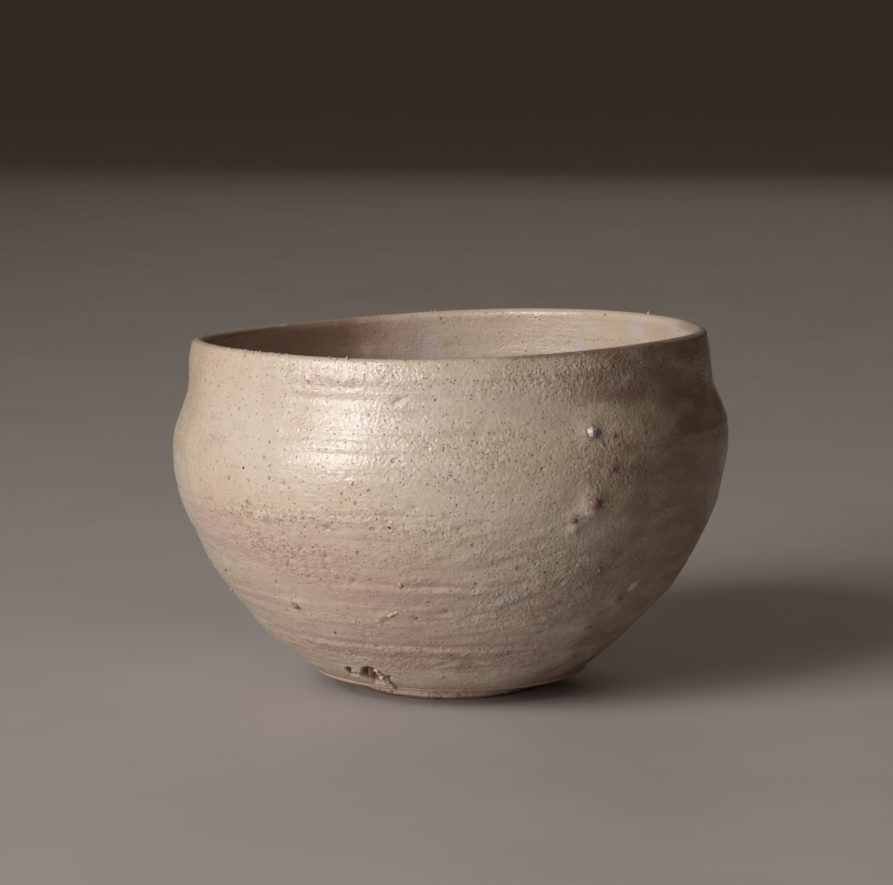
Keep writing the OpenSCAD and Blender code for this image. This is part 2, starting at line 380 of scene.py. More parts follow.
# %% Lumps, drags and sand
FINGER_MM, KNUCKLE_MM, STREAK_MM, SAND_MM, DUST_MM = 17, 6.5, 1.5, 1.9, 1.2
DRAG_TILT = 16
DRAG_DEPTH = 0.20
# [angle, height, half width, half height, tilt, strength]
SANDY = [[-128, 46.5, 26, 2.0, 0, 1.0], [-130, 38.5, 15, 4.5, -10, 0.9], [-98, 44, 12, 4, 0, 0.6],
         [-60, 30, 24, 11, 12, 1.0], [-55, 54, 14, 10, 0, 0.6], [-110, 75, 26, 2.4, 0, 0.55],
         [-62, 74.5, 26, 4, 0, 0.9], [-95, 14, 40, 5, 0, 0.8], [-84, 60, 14, 7, 0, 0.6],
         [30, 40, 25, 10, 10, 0.7], [100, 30, 30, 9, -8, 0.8], [160, 46, 25, 3, 0, 0.9]]


def sandy_places(a, h, points):
    """From 0 to 1 where coarse sand lies close under the skin."""
    return np.clip(zones(a, h, SANDY) + 0.28 * clay_noise(points, 4.5, 15, flat=1.8) + 0.06, 0, 1)


def clay_skin(h, points, sandy):
    """Relief of the lumps, drags and sand, in mm."""
    trimmed = 1 - soft_step(h, 26, 50)
    fingers = 0.24 * clay_noise(points, FINGER_MM, 5, flat=1.6) + 0.11 * clay_noise(points, KNUCKLE_MM, 6)
    drags = (0.03 + 0.09 * trimmed) * clay_noise(points, STREAK_MM, 7, flat=7)
    sand = (0.020 + 0.11 * sandy) * clay_noise(points, SAND_MM, 8)
    dust = (0.012 + 0.05 * sandy) * clay_noise(points, DUST_MM, 9)
    return fingers + drags + (sand + dust)


def torn_skin(a, h, points):
    """From 0 to 1 where dragged sand tore the skin open."""
    patches = clay_noise(points, 7, 10, flat=2.2) + 0.5 * clay_noise(points, 2.4, 11, flat=2)
    right_low = turn_window(a, -84, -28, 20) * turn_window(h, 12, 38, 8)
    reach = 0.80 - 0.34 * right_low - 0.10 * (1 - soft_step(h, 15, 30))
    return soft_step(patches, reach, reach + 0.22)


def dragged(a, h):
    """Gouges from sand dragged up and to the right, low on the right of the front, in mm."""
    across = np.radians(a) * np.interp(h, OUT_H, OUT_R)
    along = np.interp(h, OUT_H, OUT_S)
    c, s = math.cos(math.radians(DRAG_TILT)), math.sin(math.radians(DRAG_TILT))
    flow = np.column_stack([(across * c + along * s) / 7, (along * c - across * s) / 1.5,
                            np.full(len(a), 4.2)])
    fine = flow * np.array([2.6, 2.4, 1.0])
    streak = np.array([noise.noise(p) for p in flow.tolist()])
    streak += 0.5 * np.array([noise.noise(p) for p in fine.tolist()])
    where = turn_window(a, -92, -30, 16) * turn_window(h, 12, 42, 7)
    return DRAG_DEPTH * where * streak


print("lumps of", FINGER_MM, KNUCKLE_MM, STREAK_MM, SAND_MM, "and", DUST_MM, "mm")

# %% [markdown]
# Stones, iron grains, beads and crumbs are pieces of their own, and the CAD says where each one
# is. The clay round a stone swells and cracks a little, so their places are needed before the
# wall is made. Each CAD node holds several separate solids; welding equal corners and following
# the edges tells them apart.

# %% Find the separate solids of a CAD node
def solids_of(node):
    """(middle in mm, longest side in mm) of each separate solid, in a fixed order."""
    points = mesh_points(node)
    corner = {}
    weld = [corner.setdefault(tuple(p), len(corner)) for p in points.round(3).tolist()]
    group = list(range(len(corner)))

    def leader(i):
        while group[i] != i:
            i = group[i]
        return i

    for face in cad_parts[node].data.polygons:
        ids = [leader(weld[v]) for v in face.vertices]
        for i in ids:
            group[i] = min(ids)
    members = {}
    for p, w in zip(points, weld):
        members.setdefault(leader(w), []).append(p)
    lows_highs = [(np.min(m, axis=0), np.max(m, axis=0)) for m in members.values()]
    return [((lo + hi) / 2, float((hi - lo).max())) for lo, hi in lows_highs]


def place_on_wall(node):
    """[angle, height, size] of each separate solid, on the upright wall."""
    found = solids_of(node)
    middles = upright(np.array([middle for middle, size in found]))
    turns = np.degrees(np.arctan2(middles[:, 1], middles[:, 0]))
    sizes = [size for middle, size in found]
    return sorted([float(t), float(h), s] for t, h, s in zip(turns, middles[:, 2], sizes))


STONES = place_on_wall("feldspar_stones")
GRAINS = place_on_wall("iron_grains")
BEADS = place_on_wall("glaze_drops")
print(len(STONES), "stones,", len(GRAINS), "iron grains,", len(BEADS), "beads")

# %% [markdown]
# Pits are where sand was dragged out or a bubble burst. Most are scattered at random, from a fixed
# seed, with more of them low on the wall and in one band under the shoulder. A few large ones
# that give this bowl its face are listed one by one. Two tears at the turn of the base go deep into
# the clay: a small round one, and a ragged one with a curl of clay hanging over its edge.

# %% Scatter the pits
rng = np.random.default_rng(7)
PIT_COUNT = 420
pit_turn = rng.uniform(-180, 180, PIT_COUNT)
pit_zone = rng.choice([0, 1, 1, 2], PIT_COUNT)
anywhere, low_down = rng.uniform(7, 76, PIT_COUNT), rng.uniform(6, 44, PIT_COUNT)
in_the_band = rng.normal(46.5, 1.4, PIT_COUNT)
pit_height = np.choose(pit_zone, [anywhere, low_down, in_the_band])
pit_size = 0.28 + 0.5 * rng.random(PIT_COUNT) ** 3
PITS = [[a, h, w, 0.55 * w] for a, h, w in zip(pit_turn, pit_height, pit_size)]
# [angle, height, half width, depth]
PITS += [[-100.5, 71.1, 1.0, 0.30], [-101.6, 70.3, 0.6, 0.30], [-99.2, 71.7, 0.5, 0.25],
         [-96.2, 74.2, 0.5, 0.25], [-122.0, 32.9, 0.8, 0.25], [-114.8, 32.9, 0.45, 0.2],
         [-87.2, 35.1, 0.5, 0.25], [-109.4, 36.6, 0.5, 0.2], [-94.5, 61.6, 0.6, 0.2],
         [-104.8, 24, 0.9, 0.4], [-103.2, 24.8, 0.6, 0.4], [-101.0, 31.2, 0.7, 0.35],
         [-62.6, 45.4, 0.7, 0.4], [-65.8, 44, 0.6, 0.35], [-58.6, 47, 0.8, 0.3]]
print(len(PITS), "pits")

# %% Relief of pits, stones and tears
# [angle, height, half width, half height, stands out, tilt]
WELTS = [[-129.5, 46.0, 0.7, 1.5, 0.16, 14], [-121.6, 42.0, 0.5, 1.1, 0.18, 0],
         [-133.4, 42.1, 0.6, 1.0, 0.16, -20], [-98.0, 38.2, 2.2, 0.5, 0.20, 35],
         [-96.5, 39.2, 1.6, 0.4, -0.14, 38], [-92.8, 48.3, 1.0, 0.6, 0.14, 10],
         [-105.6, 24.0, 2.6, 1.1, 0.34, 24], [-106.5, 23.0, 2.4, 0.4, -0.22, 20],
         [-101.0, 31.7, 1.2, 1.0, 0.30, 60], [-61.2, 46.6, 1.9, 2.3, 0.75, 0],
         [-62.9, 44.6, 1.0, 1.0, 0.40, 0], [-64.6, 43.0, 1.2, 1.7, 0.50, 0],
         [-58.5, 45.0, 1.0, 1.0, -0.28, 0], [-77, 28.0, 4.2, 1.0, 0.26, 24],
         [-76, 26.4, 4.0, 0.5, -0.22, 24], [-70, 33.0, 1.0, 0.7, 0.22, 30],
         [-52, 36.0, 1.3, 0.7, 0.22, 10], [-84, 30.0, 1.0, 0.6, 0.20, 20],
         [34, 26.8, 2.4, 0.9, 0.32, -20], [71, 33.8, 1.4, 1.0, 0.26, 30],
         [118, 20.8, 2.2, 0.8, 0.30, 15], [152, 41.8, 1.2, 1.1, 0.24, -30],
         [-170, 22.8, 1.8, 0.7, 0.26, 12], [88, 52, 1.0, 1.6, 0.2, 0]]
# [angle, height, half width, half height, depth]
TEARS = [[-118.6, 7.6, 3.1, 3.6, 2.6], [-127.6, 8.0, 1.5, 2.1, 1.5]]


def pit_relief(a, h):
    """Depth of the pits in mm, and how deep in a pit each place is, from 0 to 1."""
    depth, inside = np.zeros(len(a)), np.zeros(len(a))
    for at_a, at_h, half, deep in PITS:
        near = (np.abs(h - at_h) < 3.2 * half) & (np.abs(turn_apart(a, at_a)) < 9 * half)
        shape = spot(a[near], h[near], (at_a, at_h), (half, half * 0.8), 20)
        depth[near] -= deep * shape
        inside[near] = np.maximum(inside[near], shape)
    return depth, inside


def stone_relief(a, h):
    """Swelling of the skin over the stones, in mm, and a halo round each, from 0 to 1."""
    swell, halo = np.zeros(len(a)), np.zeros(len(a))
    for at_a, at_h, size in STONES:
        around_it = spot(a, h, (at_a, at_h), (0.85 * size, 0.85 * size))
        moat = spot(a, h, (at_a, at_h), (0.6 * size, 0.6 * size))
        swell += 0.34 * size * around_it - 0.16 * size * moat
        halo = np.maximum(halo, around_it)
    return swell, halo


def welts(a, h):
    """Relief of scraps of clay that were smoothed under the glaze, in mm."""
    total = np.zeros(len(a))
    for at_a, at_h, half_w, half_h, out, tilt in WELTS:
        near = (np.abs(turn_apart(a, at_a)) < 8) & (np.abs(h - at_h) < 6)
        total[near] += out * spot(a[near], h[near], (at_a, at_h), (half_w, half_h), tilt)
    return total


def tear_relief(a, h, points):
    """Depth of the tears in mm, and the bare clay in them, from 0 to 1."""
    depth, bare = np.zeros(len(a)), np.zeros(len(a))
    ragged = 0.30 * clay_noise(points, 2.1, 12) + 0.14 * clay_noise(points, 0.8, 13)
    for at_a, at_h, half_w, half_h, deep in TEARS:
        inside = spot(a, h, (at_a, at_h), (half_w, half_h), -12)
        hole = soft_step(inside + ragged * (0.15 + inside), 0.30, 0.48)
        lip = spot(a, h, (at_a, at_h), (half_w * 1.35, half_h * 1.35), -12) * (1 - hole)
        depth += 0.30 * lip - deep * hole * (0.8 + 0.6 * ragged)
        bare = np.maximum(bare, hole)
    return depth, bare


print("tears:", [(t[0], t[1]) for t in TEARS])

# %% [markdown]
# Now the whole relief is put together, with masks that the glaze will need later: where a pit or
# a tear is, where a stone is near, and where the sand is exposed. They are kept on the mesh as
# numbers per point, so colour and shape can't disagree.

# %% The whole relief
LIP_THIN = 3.0


def relief(a, h):
    """(mm that the outside stands out of the smooth outline, masks) at angles and heights."""
    points = wall_point(a, h)
    sandy = sandy_places(a, h, points)
    lines, skin = thrown_lines(a, h, points), clay_skin(h, points, sandy)
    torn = torn_skin(a, h, points)
    pits, in_pit = pit_relief(a, h)
    swell, halo = stone_relief(a, h)
    tears, bare = tear_relief(a, h, points)
    burr = clay_noise(points, 1.2, 14)
    calm = 1 - 0.65 * soft_step(h, LIP_H - LIP_THIN, LIP_H)
    scraps = welts(a, h)
    out = calm * (lines + skin + dragged(a, h) + pits) + swell + scraps + tears
    out = out - torn * (0.16 + 0.16 * burr)
    return out, {"pit": in_pit, "torn": torn, "halo": halo, "bare": bare, "sandy": sandy}


test_turn = np.linspace(-180, 180, 400)
test_out = relief(test_turn, np.full(400, 30.0))[0]
print("at 30 mm the relief runs from", test_out.min().round(2), "to", test_out.max().round(2), "mm")

# %% [markdown]
# ## Lean and lip
# The bowl stands level on its foot, but its wall leans more and more towards the top, and the lip
# rises and dips in slow waves. Moving every point up or down by an amount that grows with height
# keeps the foot flat, which turning the whole bowl would not. The wall is also a little out of
# round, and flatter or fuller where the potter's hands lifted it off the wheel.

# %% Raise and lower the wall
def lip_wave(a):
    """Height of the lip's waves in mm, without the lean."""
    t = np.radians(a)
    return -0.3 * np.sin(t) + 0.5 * np.sin(2 * t) - 0.24 * np.cos(3 * t) - 0.2 * np.sin(3 * t)


def lifted(points, a):
    """Wall points moved up or down by the lean and the lip's waves."""
    h = points[:, 2]
    leaning = soft_step(h, 4, SHOULDER_H) * points[:, 0] * math.tan(LEAN)
    waving = soft_step(h, SHOULDER_H - 10, LIP_H) * lip_wave(a)
    return points + np.column_stack([np.zeros(len(a)), np.zeros(len(a)), leaning + waving])


# [angle, height, half width, half height, stands out]: where hands pressed the soft wall
PRESSES = [[180, 36.5, 34, 6.5, -0.75], [180, 13.5, 26, 7.5, 0.95], [180, 67, 26, 4, -0.30],
           [0, 77, 26, 5, -0.60], [0, 67, 26, 4, -0.45], [0, 47, 26, 4, -0.40], [0, 25, 26, 5, 0.35],
           [0, 16, 22, 4.5, -0.55]]


def out_of_round(a, h):
    """How far the wall is pressed out of round, in mm."""
    t = np.radians(a)
    pressed = 0.25 * np.cos(2 * t + 0.6) * soft_step(h, 10, 50) + 0.12 * np.sin(3 * t + h / 30)
    for at_a, at_h, half_w, half_h, out in PRESSES:
        pressed = pressed + out * spot(a, h, (at_a, at_h), (half_w, half_h))
    return pressed


print("lip wave from", lip_wave(test_turn).min().round(2), "to", lip_wave(test_turn).max().round(2), "mm")

# %% [markdown]
# ## Turning rings of points into clay
# Every thrown piece is built the same way: rings of points, one above the other, joined by faces.
# A Screw modifier would spin an outline with less code, but then all the way round would be alike.
# The columns stand closer together by the two tears, where the shape changes fastest.

# %% Columns round the bowl
COLUMNS = 480
fine_turn = np.linspace(-180, 180, 3601)
crowd = 1 + 2.2 * turn_window(fine_turn, -132, -111, 8)
share = np.concatenate([[0], np.cumsum((crowd[1:] + crowd[:-1]) / 2)])
TURNS = np.interp(np.arange(COLUMNS) / COLUMNS * share[-1], share, fine_turn)
print("columns", np.diff(TURNS).min().round(2), "to", np.diff(TURNS).max().round(2), "degrees apart")


def steps_along(length, step, crowded_to=0.0, crowded_step=0.3):
    """Distances along a line, closer together up to crowded_to."""
    close = np.arange(0, crowded_to, crowded_step)
    rest = np.linspace(crowded_to, length, 1 + round((length - crowded_to) / step))
    return np.concatenate([close, rest])


# %% Join rings into a closed solid
def join_rings(name, rings, poles=None):
    """A closed mesh from rings of points in mm. Without poles, the last ring joins the first."""
    rings = np.asarray(rings)
    count, columns = rings.shape[:2]
    verts = rings.reshape(-1, 3)
    here = np.arange(columns)
    beside = (here + 1) % columns
    faces = []
    for i in range(count if poles is None else count - 1):
        low, high = i * columns, (i + 1) % count * columns
        faces += np.column_stack([low + here, low + beside, high + beside, high + here]).tolist()
    if poles is not None:
        verts = np.vstack([verts, poles])
        first, last = len(verts) - 2, len(verts) - 1
        top = (count - 1) * columns
        faces += np.column_stack([np.full(columns, first), beside, here]).tolist()
        faces += np.column_stack([np.full(columns, last), top + here, top + beside]).tolist()
    piece = new_mesh_object(name, verts * MM, faces)
    face_outwards(piece)
    piece.data.polygons.foreach_set("use_smooth", [True] * len(faces))
    print(name, len(faces), "faces")
    return piece


def face_outwards(piece):
    """Turns every face of a closed mesh to the outside."""
    shape = bmesh.new()
    shape.from_mesh(piece.data)
    bmesh.ops.recalc_face_normals(shape, faces=shape.faces)
    shape.to_mesh(piece.data)
    shape.free()


def keep_masks(piece, masks):
    """Stores numbers per point on a mesh, for its material."""
    for mask, values in masks.items():
        layer = piece.data.attributes.new(mask, "FLOAT", "POINT")
        layer.data.foreach_set("value", np.asarray(values, dtype=np.float32).ravel())


print("a ring has", COLUMNS, "points")

# %% [markdown]
# ## The outside from the foot to the crest of the lip
# The outline has two stretches: the wall, and a quarter round over the lip. For each place on it,
# the code keeps the radius, the height and the direction straight out, and the relief pushes the
# point that way.

# %% Sample the outside outline
LIP_STEPS = 9
LIP_MID_R = OUT_R[-1] - LIP_ROUND


def outside_line(step, crowded_to):
    """Rows of (radius, height, out sideways, out upwards) from the base to the crest."""
    s = steps_along(OUT_S[-1], step, crowded_to)
    h = np.interp(s, OUT_S, OUT_H)
    slope = np.interp(h, OUT_H, OUT_SLOPE)
    size = np.hypot(1, slope)
    wall = np.column_stack([np.interp(h, OUT_H, OUT_R), h, 1 / size, -slope / size])
    turn = np.radians(np.linspace(0, 90, LIP_STEPS))[1:]
    lip = np.column_stack([LIP_MID_R + LIP_ROUND * np.cos(turn), LIP_MID_H + LIP_ROUND * np.sin(turn),
                           np.cos(turn), np.sin(turn)])
    return np.vstack([wall, lip])


def outside_rings(line, under=0.0):
    """(rings of points in mm, masks) of the outside, moved in by under mm, one value a row."""
    rows = len(line)
    a = np.tile(TURNS, rows)
    r, h, side, up = (np.repeat(line[:, i], COLUMNS) for i in range(4))
    out, masks = relief(a, h)
    out = out + out_of_round(a, h) - np.repeat(np.broadcast_to(under, rows), COLUMNS)
    points = turned_points(r + out * side, a, h + out * up)
    masks.update(turn=a, height=h)
    return lifted(points, a).reshape(rows, COLUMNS, 3), masks


glaze_line = outside_line(0.62, 9.0)
print("outside in", len(glaze_line), "rows")

# %% [markdown]
# ## Where the fire and the glaze left their colours
# One clay and one glaze made the real colours. Where flame passed, the clay blushed pink. Where the
# glaze lay thick it turned milky, and where it ran thin, on the lip and over torn sand, the brown
# of the clay shows. The right side, away from the window light, is darkened to brown as painted
# shade. These are broad zones with soft edges, so a number per point is fine enough; the material
# adds the small-scale breakup.

# %% Blush and milk
# [angle, height, half width, half height, tilt, strength]
BLUSHES = [[-142, 40.8, 17, 7, -12, 1.0], [-124, 36.8, 15, 7, -12, 1.0], [-104, 29.8, 17, 6, -10, 0.9],
           [-118, 16.8, 22, 8, 0, 0.8], [-146, 60.8, 6, 2.5, 15, 0.5], [-113, 74.8, 14, 3, 0, 0.45],
           [-75, 14.8, 20, 6, 0, 0.6], [-98, 70.8, 6, 5, 0, 0.5], [-60, 68.8, 14, 6, 0, 0.55],
           [-22, 62.8, 16, 9, 0, 0.5], [25, 36.8, 22, 10, -10, 0.9], [62, 18.8, 20, 8, 0, 0.8],
           [95, 52.8, 20, 7, 8, 0.7], [128, 28.8, 22, 9, -8, 0.9], [160, 62.8, 12, 5, 0, 0.5]]
MILKS = [[-77.3, 28.3, 4.6, 1.3, 24, 1.0], [-82.9, 45.8, 4.5, 2.6, -25, 0.62],
         [-79, 41.3, 4.5, 2.4, -20, 0.5], [-62.1, 37.9, 2.4, 2.0, 10, 0.75],
         [-54.5, 39.2, 2.6, 1.6, 0, 0.5], [-97.8, 56.4, 1.6, 1.4, 0, 0.8],
         [-171, 59.8, 4.0, 3.0, 0, 0.7], [-29, 58.1, 6.0, 1.6, 0, 0.6], [-69, 20.8, 4.5, 1.6, 18, 0.6],
         [-100, 52.3, 9.0, 2.6, 0, 0.5], [-57, 22.3, 4.0, 1.6, 24, 0.45], [-90, 60.3, 7, 2.0, 0, 0.3],
         [15, 48.8, 5, 2, 15, 0.8], [48, 30.8, 4, 1.8, -20, 0.8], [82, 62.8, 6, 2, 5, 0.7],
         [104, 40.8, 5, 2.4, 20, 0.7], [139, 50.8, 4, 2, -15, 0.8], [168, 30.8, 5, 1.6, 10, 0.8]]
BROWN_SIDE = (-70, 10, 22)
BASE_LOW = OUT_H[0]


def glaze_masks(a, h):
    """Blush, milk, thin glaze and the painted shade of the right side, from 0 to 1."""
    points = wall_point(a, h)
    cloud = clay_noise(points, 12, 20, flat=1.5)
    wisps = clay_noise(points, 3.2, 21, flat=2.0)
    veil = 0.34 * (1 - soft_step(h, 38, 56))
    blush = soft_step(zones(a, h, BLUSHES) + veil + 0.34 * cloud + 0.22 * wisps, 0.0, 1.05)
    milk = soft_step(zones(a, h, MILKS) + 0.22 * wisps + 0.10 * cloud, 0.34, 0.85)
    brown_lip = 0.08 + 0.92 * turn_window(a, *BROWN_SIDE)
    thin = soft_step(h, LIP_H - 2.0, LIP_H - 0.2) * brown_lip
    foot = 1 - soft_step(h + 1.5 * cloud, BASE_LOW, BASE_LOW + 5)
    # Painted shade: a brown darkening over the right side, away from the window light.
    painted_side_shade = turn_window(a + 14 * cloud, -40, 52, 34) * (0.75 + 0.5 * wisps)
    return {"blush": blush, "milk": milk, "thin": np.maximum(thin, 0.75 * foot), "painted_side_shade": painted_side_shade}


print(len(BLUSHES), "blushes and", len(MILKS), "milky places")

# %% [markdown]
# ## The outer glaze
# On the real bowl this is a skin of glass half a millimetre thick, fused to the clay. It could be
# only a material on the clay, but a separate closed skin keeps the layers as they are made: the
# glaze ends in a feather edge just above the foot, where bare clay begins.

# %% Build the outer glaze
rays_out = [(Vector((0, 0, SHOULDER_H)), around(t, 1, 0)) for t in RAY_TURNS]
GLAZE_T = outside_radius(SHOULDER_H) - median_hit(outside_target, rays_out)[0]
FEATHER = 2.5


def glaze_depth(line):
    """Glaze thickness in mm at each row, thinning to a feather edge at the base."""
    along = np.interp(line[:, 1], OUT_H, OUT_S)
    return GLAZE_T * (0.12 + 0.88 * soft_step(along, 0, FEATHER))


front, masks = outside_rings(glaze_line)
masks.update(glaze_masks(masks.pop("turn"), masks.pop("height")))
back_rows = np.unique(np.concatenate([np.arange(0, len(glaze_line), 7), [len(glaze_line) - 1]]))
back = outside_rings(glaze_line[back_rows], glaze_depth(glaze_line)[back_rows])[0]
outer_skin = join_rings("outer_glaze_skin", np.concatenate([front, back[::-1]]))
unseen = np.zeros(len(back) * COLUMNS)
keep_masks(outer_skin, {mask: np.concatenate([values, unseen]) for mask, values in masks.items()})
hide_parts("outer_glaze")
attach(outer_skin, "root")
print("glaze", round(GLAZE_T, 2), "mm thick")

# %% [markdown]
# ## The inside
# The inside was pressed out with fingers and a rounded rib. It has wide spiral rings, a smooth
# shoulder under the lip, and a shallow pool in the floor where the last tea gathers. The first
# ring of points is the crest that the outer glaze already has, so the two skins meet exactly.

# %% Relief of the inside
INSIDE_RINGS = 7.5
INSIDE_SPIRAL = 2.2


def inside_relief(a, s, points):
    """mm that the inside stands in from its outline, at angles and distances from the crest."""
    phase = s / INSIDE_RINGS + INSIDE_SPIRAL * a / 360 + 0.5 * clay_noise(points, 30, 30)
    rings = 0.16 * np.sin(2 * np.pi * phase) * soft_step(s, 3, 12) * (1 - soft_step(s, 78, 90))
    lumps = 0.30 * clay_noise(points, 19, 31) + 0.12 * clay_noise(points, 7, 32)
    sand = 0.05 * clay_noise(points, 1.9, 33) + 0.03 * clay_noise(points, 1.1, 34)
    drags = 0.07 * clay_noise(points, 1.8, 35, flat=7)
    return rings + lumps + sand + drags


INSIDE_STEP = 0.85
in_turn = np.radians(np.linspace(90, 180, LIP_STEPS))
in_s = steps_along(IN_S[-1], INSIDE_STEP)[:-1]
in_r, in_h = np.interp(in_s, IN_S, IN_R), np.interp(in_s, IN_S, IN_H)
in_way = np.column_stack([np.gradient(in_r), np.gradient(in_h)])
in_way /= np.linalg.norm(in_way, axis=1)[:, None]
lip_way = np.column_stack([np.cos(in_turn), np.sin(in_turn)])
lip_part = np.hstack([np.array([LIP_MID_R, LIP_MID_H]) + LIP_ROUND * lip_way, lip_way])
wall_part = np.column_stack([in_r, in_h, in_way[:, 1], -in_way[:, 0]])[1:]
inner_line = np.vstack([lip_part, wall_part])
inner_s = np.concatenate([LIP_ROUND * (in_turn - in_turn[0]), in_s[1:] + LIP_ROUND * np.pi / 2])
print("inside in", len(inner_line), "rows")

# %% Rings of the inside
def inside_rings(line, s_rows, under=0.0):
    """Rings of points in mm of the inside, moved into the clay by under mm."""
    rows = len(line)
    a, s = np.tile(TURNS, rows), np.repeat(s_rows, COLUMNS)
    r, h, side, up = (np.repeat(line[:, i], COLUMNS) for i in range(4))
    smooth = turned_points(r, a, h)
    crest = np.tile(relief(TURNS, np.full(COLUMNS, LIP_H))[0] + out_of_round(TURNS, LIP_H), rows)
    over = soft_step(s, 0, 2.4)
    away = (1 - over) * crest + over * (inside_relief(a, s, smooth) - out_of_round(a, h)) - under
    points = turned_points(r + away * side, a, h + away * up)
    return lifted(points, a).reshape(rows, COLUMNS, 3)


def middle_point(rings):
    """The middle of the last ring, to close a solid on the axis."""
    return [0, 0, rings[:, 2].mean()]


print("the crest's ring is shared by both skins")

# %% [markdown]
# The inner skin is closed in the same way as the outer one. Its colours are quieter, because less
# flame reaches the inside: milky clouds, a little blush at the back, and painted shade, a brown
# darkening high on the left side, where the lip's shadow falls. They come from noise and windows,
# since no mark there has a name.

# %% Build the inner glaze
in_front = inside_rings(inner_line, inner_s)
some_rows = np.unique(np.concatenate([np.arange(0, len(inner_line), 8), [len(inner_line) - 1]]))
in_back = inside_rings(inner_line[some_rows], inner_s[some_rows], GLAZE_T)
inner_all = np.concatenate([in_front[::-1], in_back])
in_poles = [middle_point(in_front[-1]), middle_point(in_back[-1])]
inner_skin = join_rings("inner_glaze_skin", inner_all, in_poles)
in_a = np.tile(TURNS, len(inner_all))
in_height = inner_all[:, :, 2].ravel()
in_thin = soft_step(in_height, LIP_H - 2.2, LIP_H - 0.3) * (0.1 + 0.7 * turn_window(in_a, *BROWN_SIDE))
in_points = inner_all.reshape(-1, 3)
in_cloud = clay_noise(in_points, 13, 40, flat=1.4) + 0.8 * clay_noise(in_points, 4, 41, flat=1.6)
in_milk = soft_step(in_cloud + 0.15 * turn_window(in_a, 60, 110, 20), 0.22, 0.9)
# Painted shade: the inside's left wall, high up, is darkened to brown where the lip's shadow falls.
in_painted_shade = turn_window(in_a, 128, 225, 30) * soft_step(in_height, 36, 58) * 1.25
in_blush = soft_step(clay_noise(in_points, 22, 42) + 0.6 * turn_window(in_a, 92, 160, 20), 0.15, 1.0)
in_masks = {"milk": in_milk, "blush": in_blush, "thin": in_thin, "painted_side_shade": in_painted_shade}
keep_masks(inner_skin, {mask: np.append(values, [0.0, 0.0]) for mask, values in in_masks.items()})
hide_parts("inner_glaze")
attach(inner_skin, "root")

# %% [markdown]
# ## The clay body
# The clay lies under both glazes, and shows on the underside, where it was pared with a tool while
# it was leather-hard, and round the foot. It is built as one closed solid whose surface follows
# the two glazes from below, so a chip in the glaze would show clay and not a gap.

# %% Sizes of the foot and the underside, from the frame
foot_low, foot_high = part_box("foot_ring")
slip_low, slip_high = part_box("foot_slip")
FOOT_H, FOOT_TOP_R = foot_high.z / MM, foot_high.x / MM
SEAT_H, SLIP_R = slip_high.z / MM, slip_high.x / MM
ring_points = mesh_points("foot_ring")
ring_reach = np.hypot(ring_points[:, 0], ring_points[:, 1])
FOOT_IN_R = ring_reach.min()
FOOT_LOW_R = ring_reach[ring_points[:, 2] < 0.9].max()
BASE_ROUND = 0.7
UNDER_H = float(BASE_LOW) - BASE_ROUND
print("foot", round(2 * FOOT_LOW_R, 1), "mm across on the table and", round(FOOT_H, 1), "mm high")

# %% Build the clay body
HOLLOW_DEPTH = 1.3
HOLLOW_SLANT = 2.0


def pared(r, h, a):
    """Relief of the pared underside in mm: turning marks and torn sand."""
    points = turned_points(r, a, np.full(len(a), h))
    rings = 0.10 * np.sin(2 * np.pi * (r / 2.6 + a / 360)) + 0.08 * np.sin(2 * np.pi * r / 5.3)
    return rings + 0.12 * clay_noise(points, 5, 50) + 0.07 * clay_noise(points, 1.4, 51)


def under_rings():
    """Rings under the bowl, from the turn of the base in to the middle of the foot's hollow."""
    turn_in = np.radians(np.linspace(0, 90, 7))[1:]
    corner = [(BASE_R + BASE_ROUND * (math.cos(t) - 1), UNDER_H + BASE_ROUND * (1 - math.sin(t)))
              for t in turn_in]
    flat = [(r, UNDER_H) for r in np.linspace(BASE_R - 1.5, SLIP_R - 1.2, 26)]
    seat = [(SLIP_R - 1.4, SEAT_H), (FOOT_IN_R, SEAT_H)]
    hollow = [(FOOT_IN_R - HOLLOW_SLANT * t, SEAT_H + HOLLOW_DEPTH * t) for t in (0.3, 0.7, 1.0)]
    floor_in = [(r, SEAT_H + HOLLOW_DEPTH) for r in np.linspace(FOOT_IN_R - HOLLOW_SLANT - 0.6, 0.6, 24)]
    rings = []
    for r, h in corner + flat + seat + hollow + floor_in:
        ring_h = h - pared(r, h, TURNS) * (0.3 if (r, h) in corner else 1.0)
        rings.append(turned_points(r, TURNS, ring_h))
    return np.array(rings)


UNDER_GLAZE = 0.04
clay_rows = glaze_line[::3]
clay_out = outside_rings(clay_rows, glaze_depth(clay_rows) + UNDER_GLAZE)[0]
clay_in = inside_rings(inner_line[::4], inner_s[::4], GLAZE_T + UNDER_GLAZE)[1:]
under = under_rings()
clay_all = np.concatenate([clay_in[::-1], clay_out[::-1], under])
clay_body = join_rings("clay_body_turned", clay_all, [middle_point(clay_in[-1]), middle_point(under[-1])])
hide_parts("clay_body")
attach(clay_body, "root")

# %% [markdown]
# ## The foot ring and its slip
# The foot is a low coil of coarse clay, luted on with slip and pared on the wheel. It stayed
# unglazed, so its edge is chipped and its lower edge scorched orange. The slip squeezed out of
# the joint in a lumpy line, and was only wiped with a finger.

# %% Build the foot ring
FOOT_EDGE = 0.8


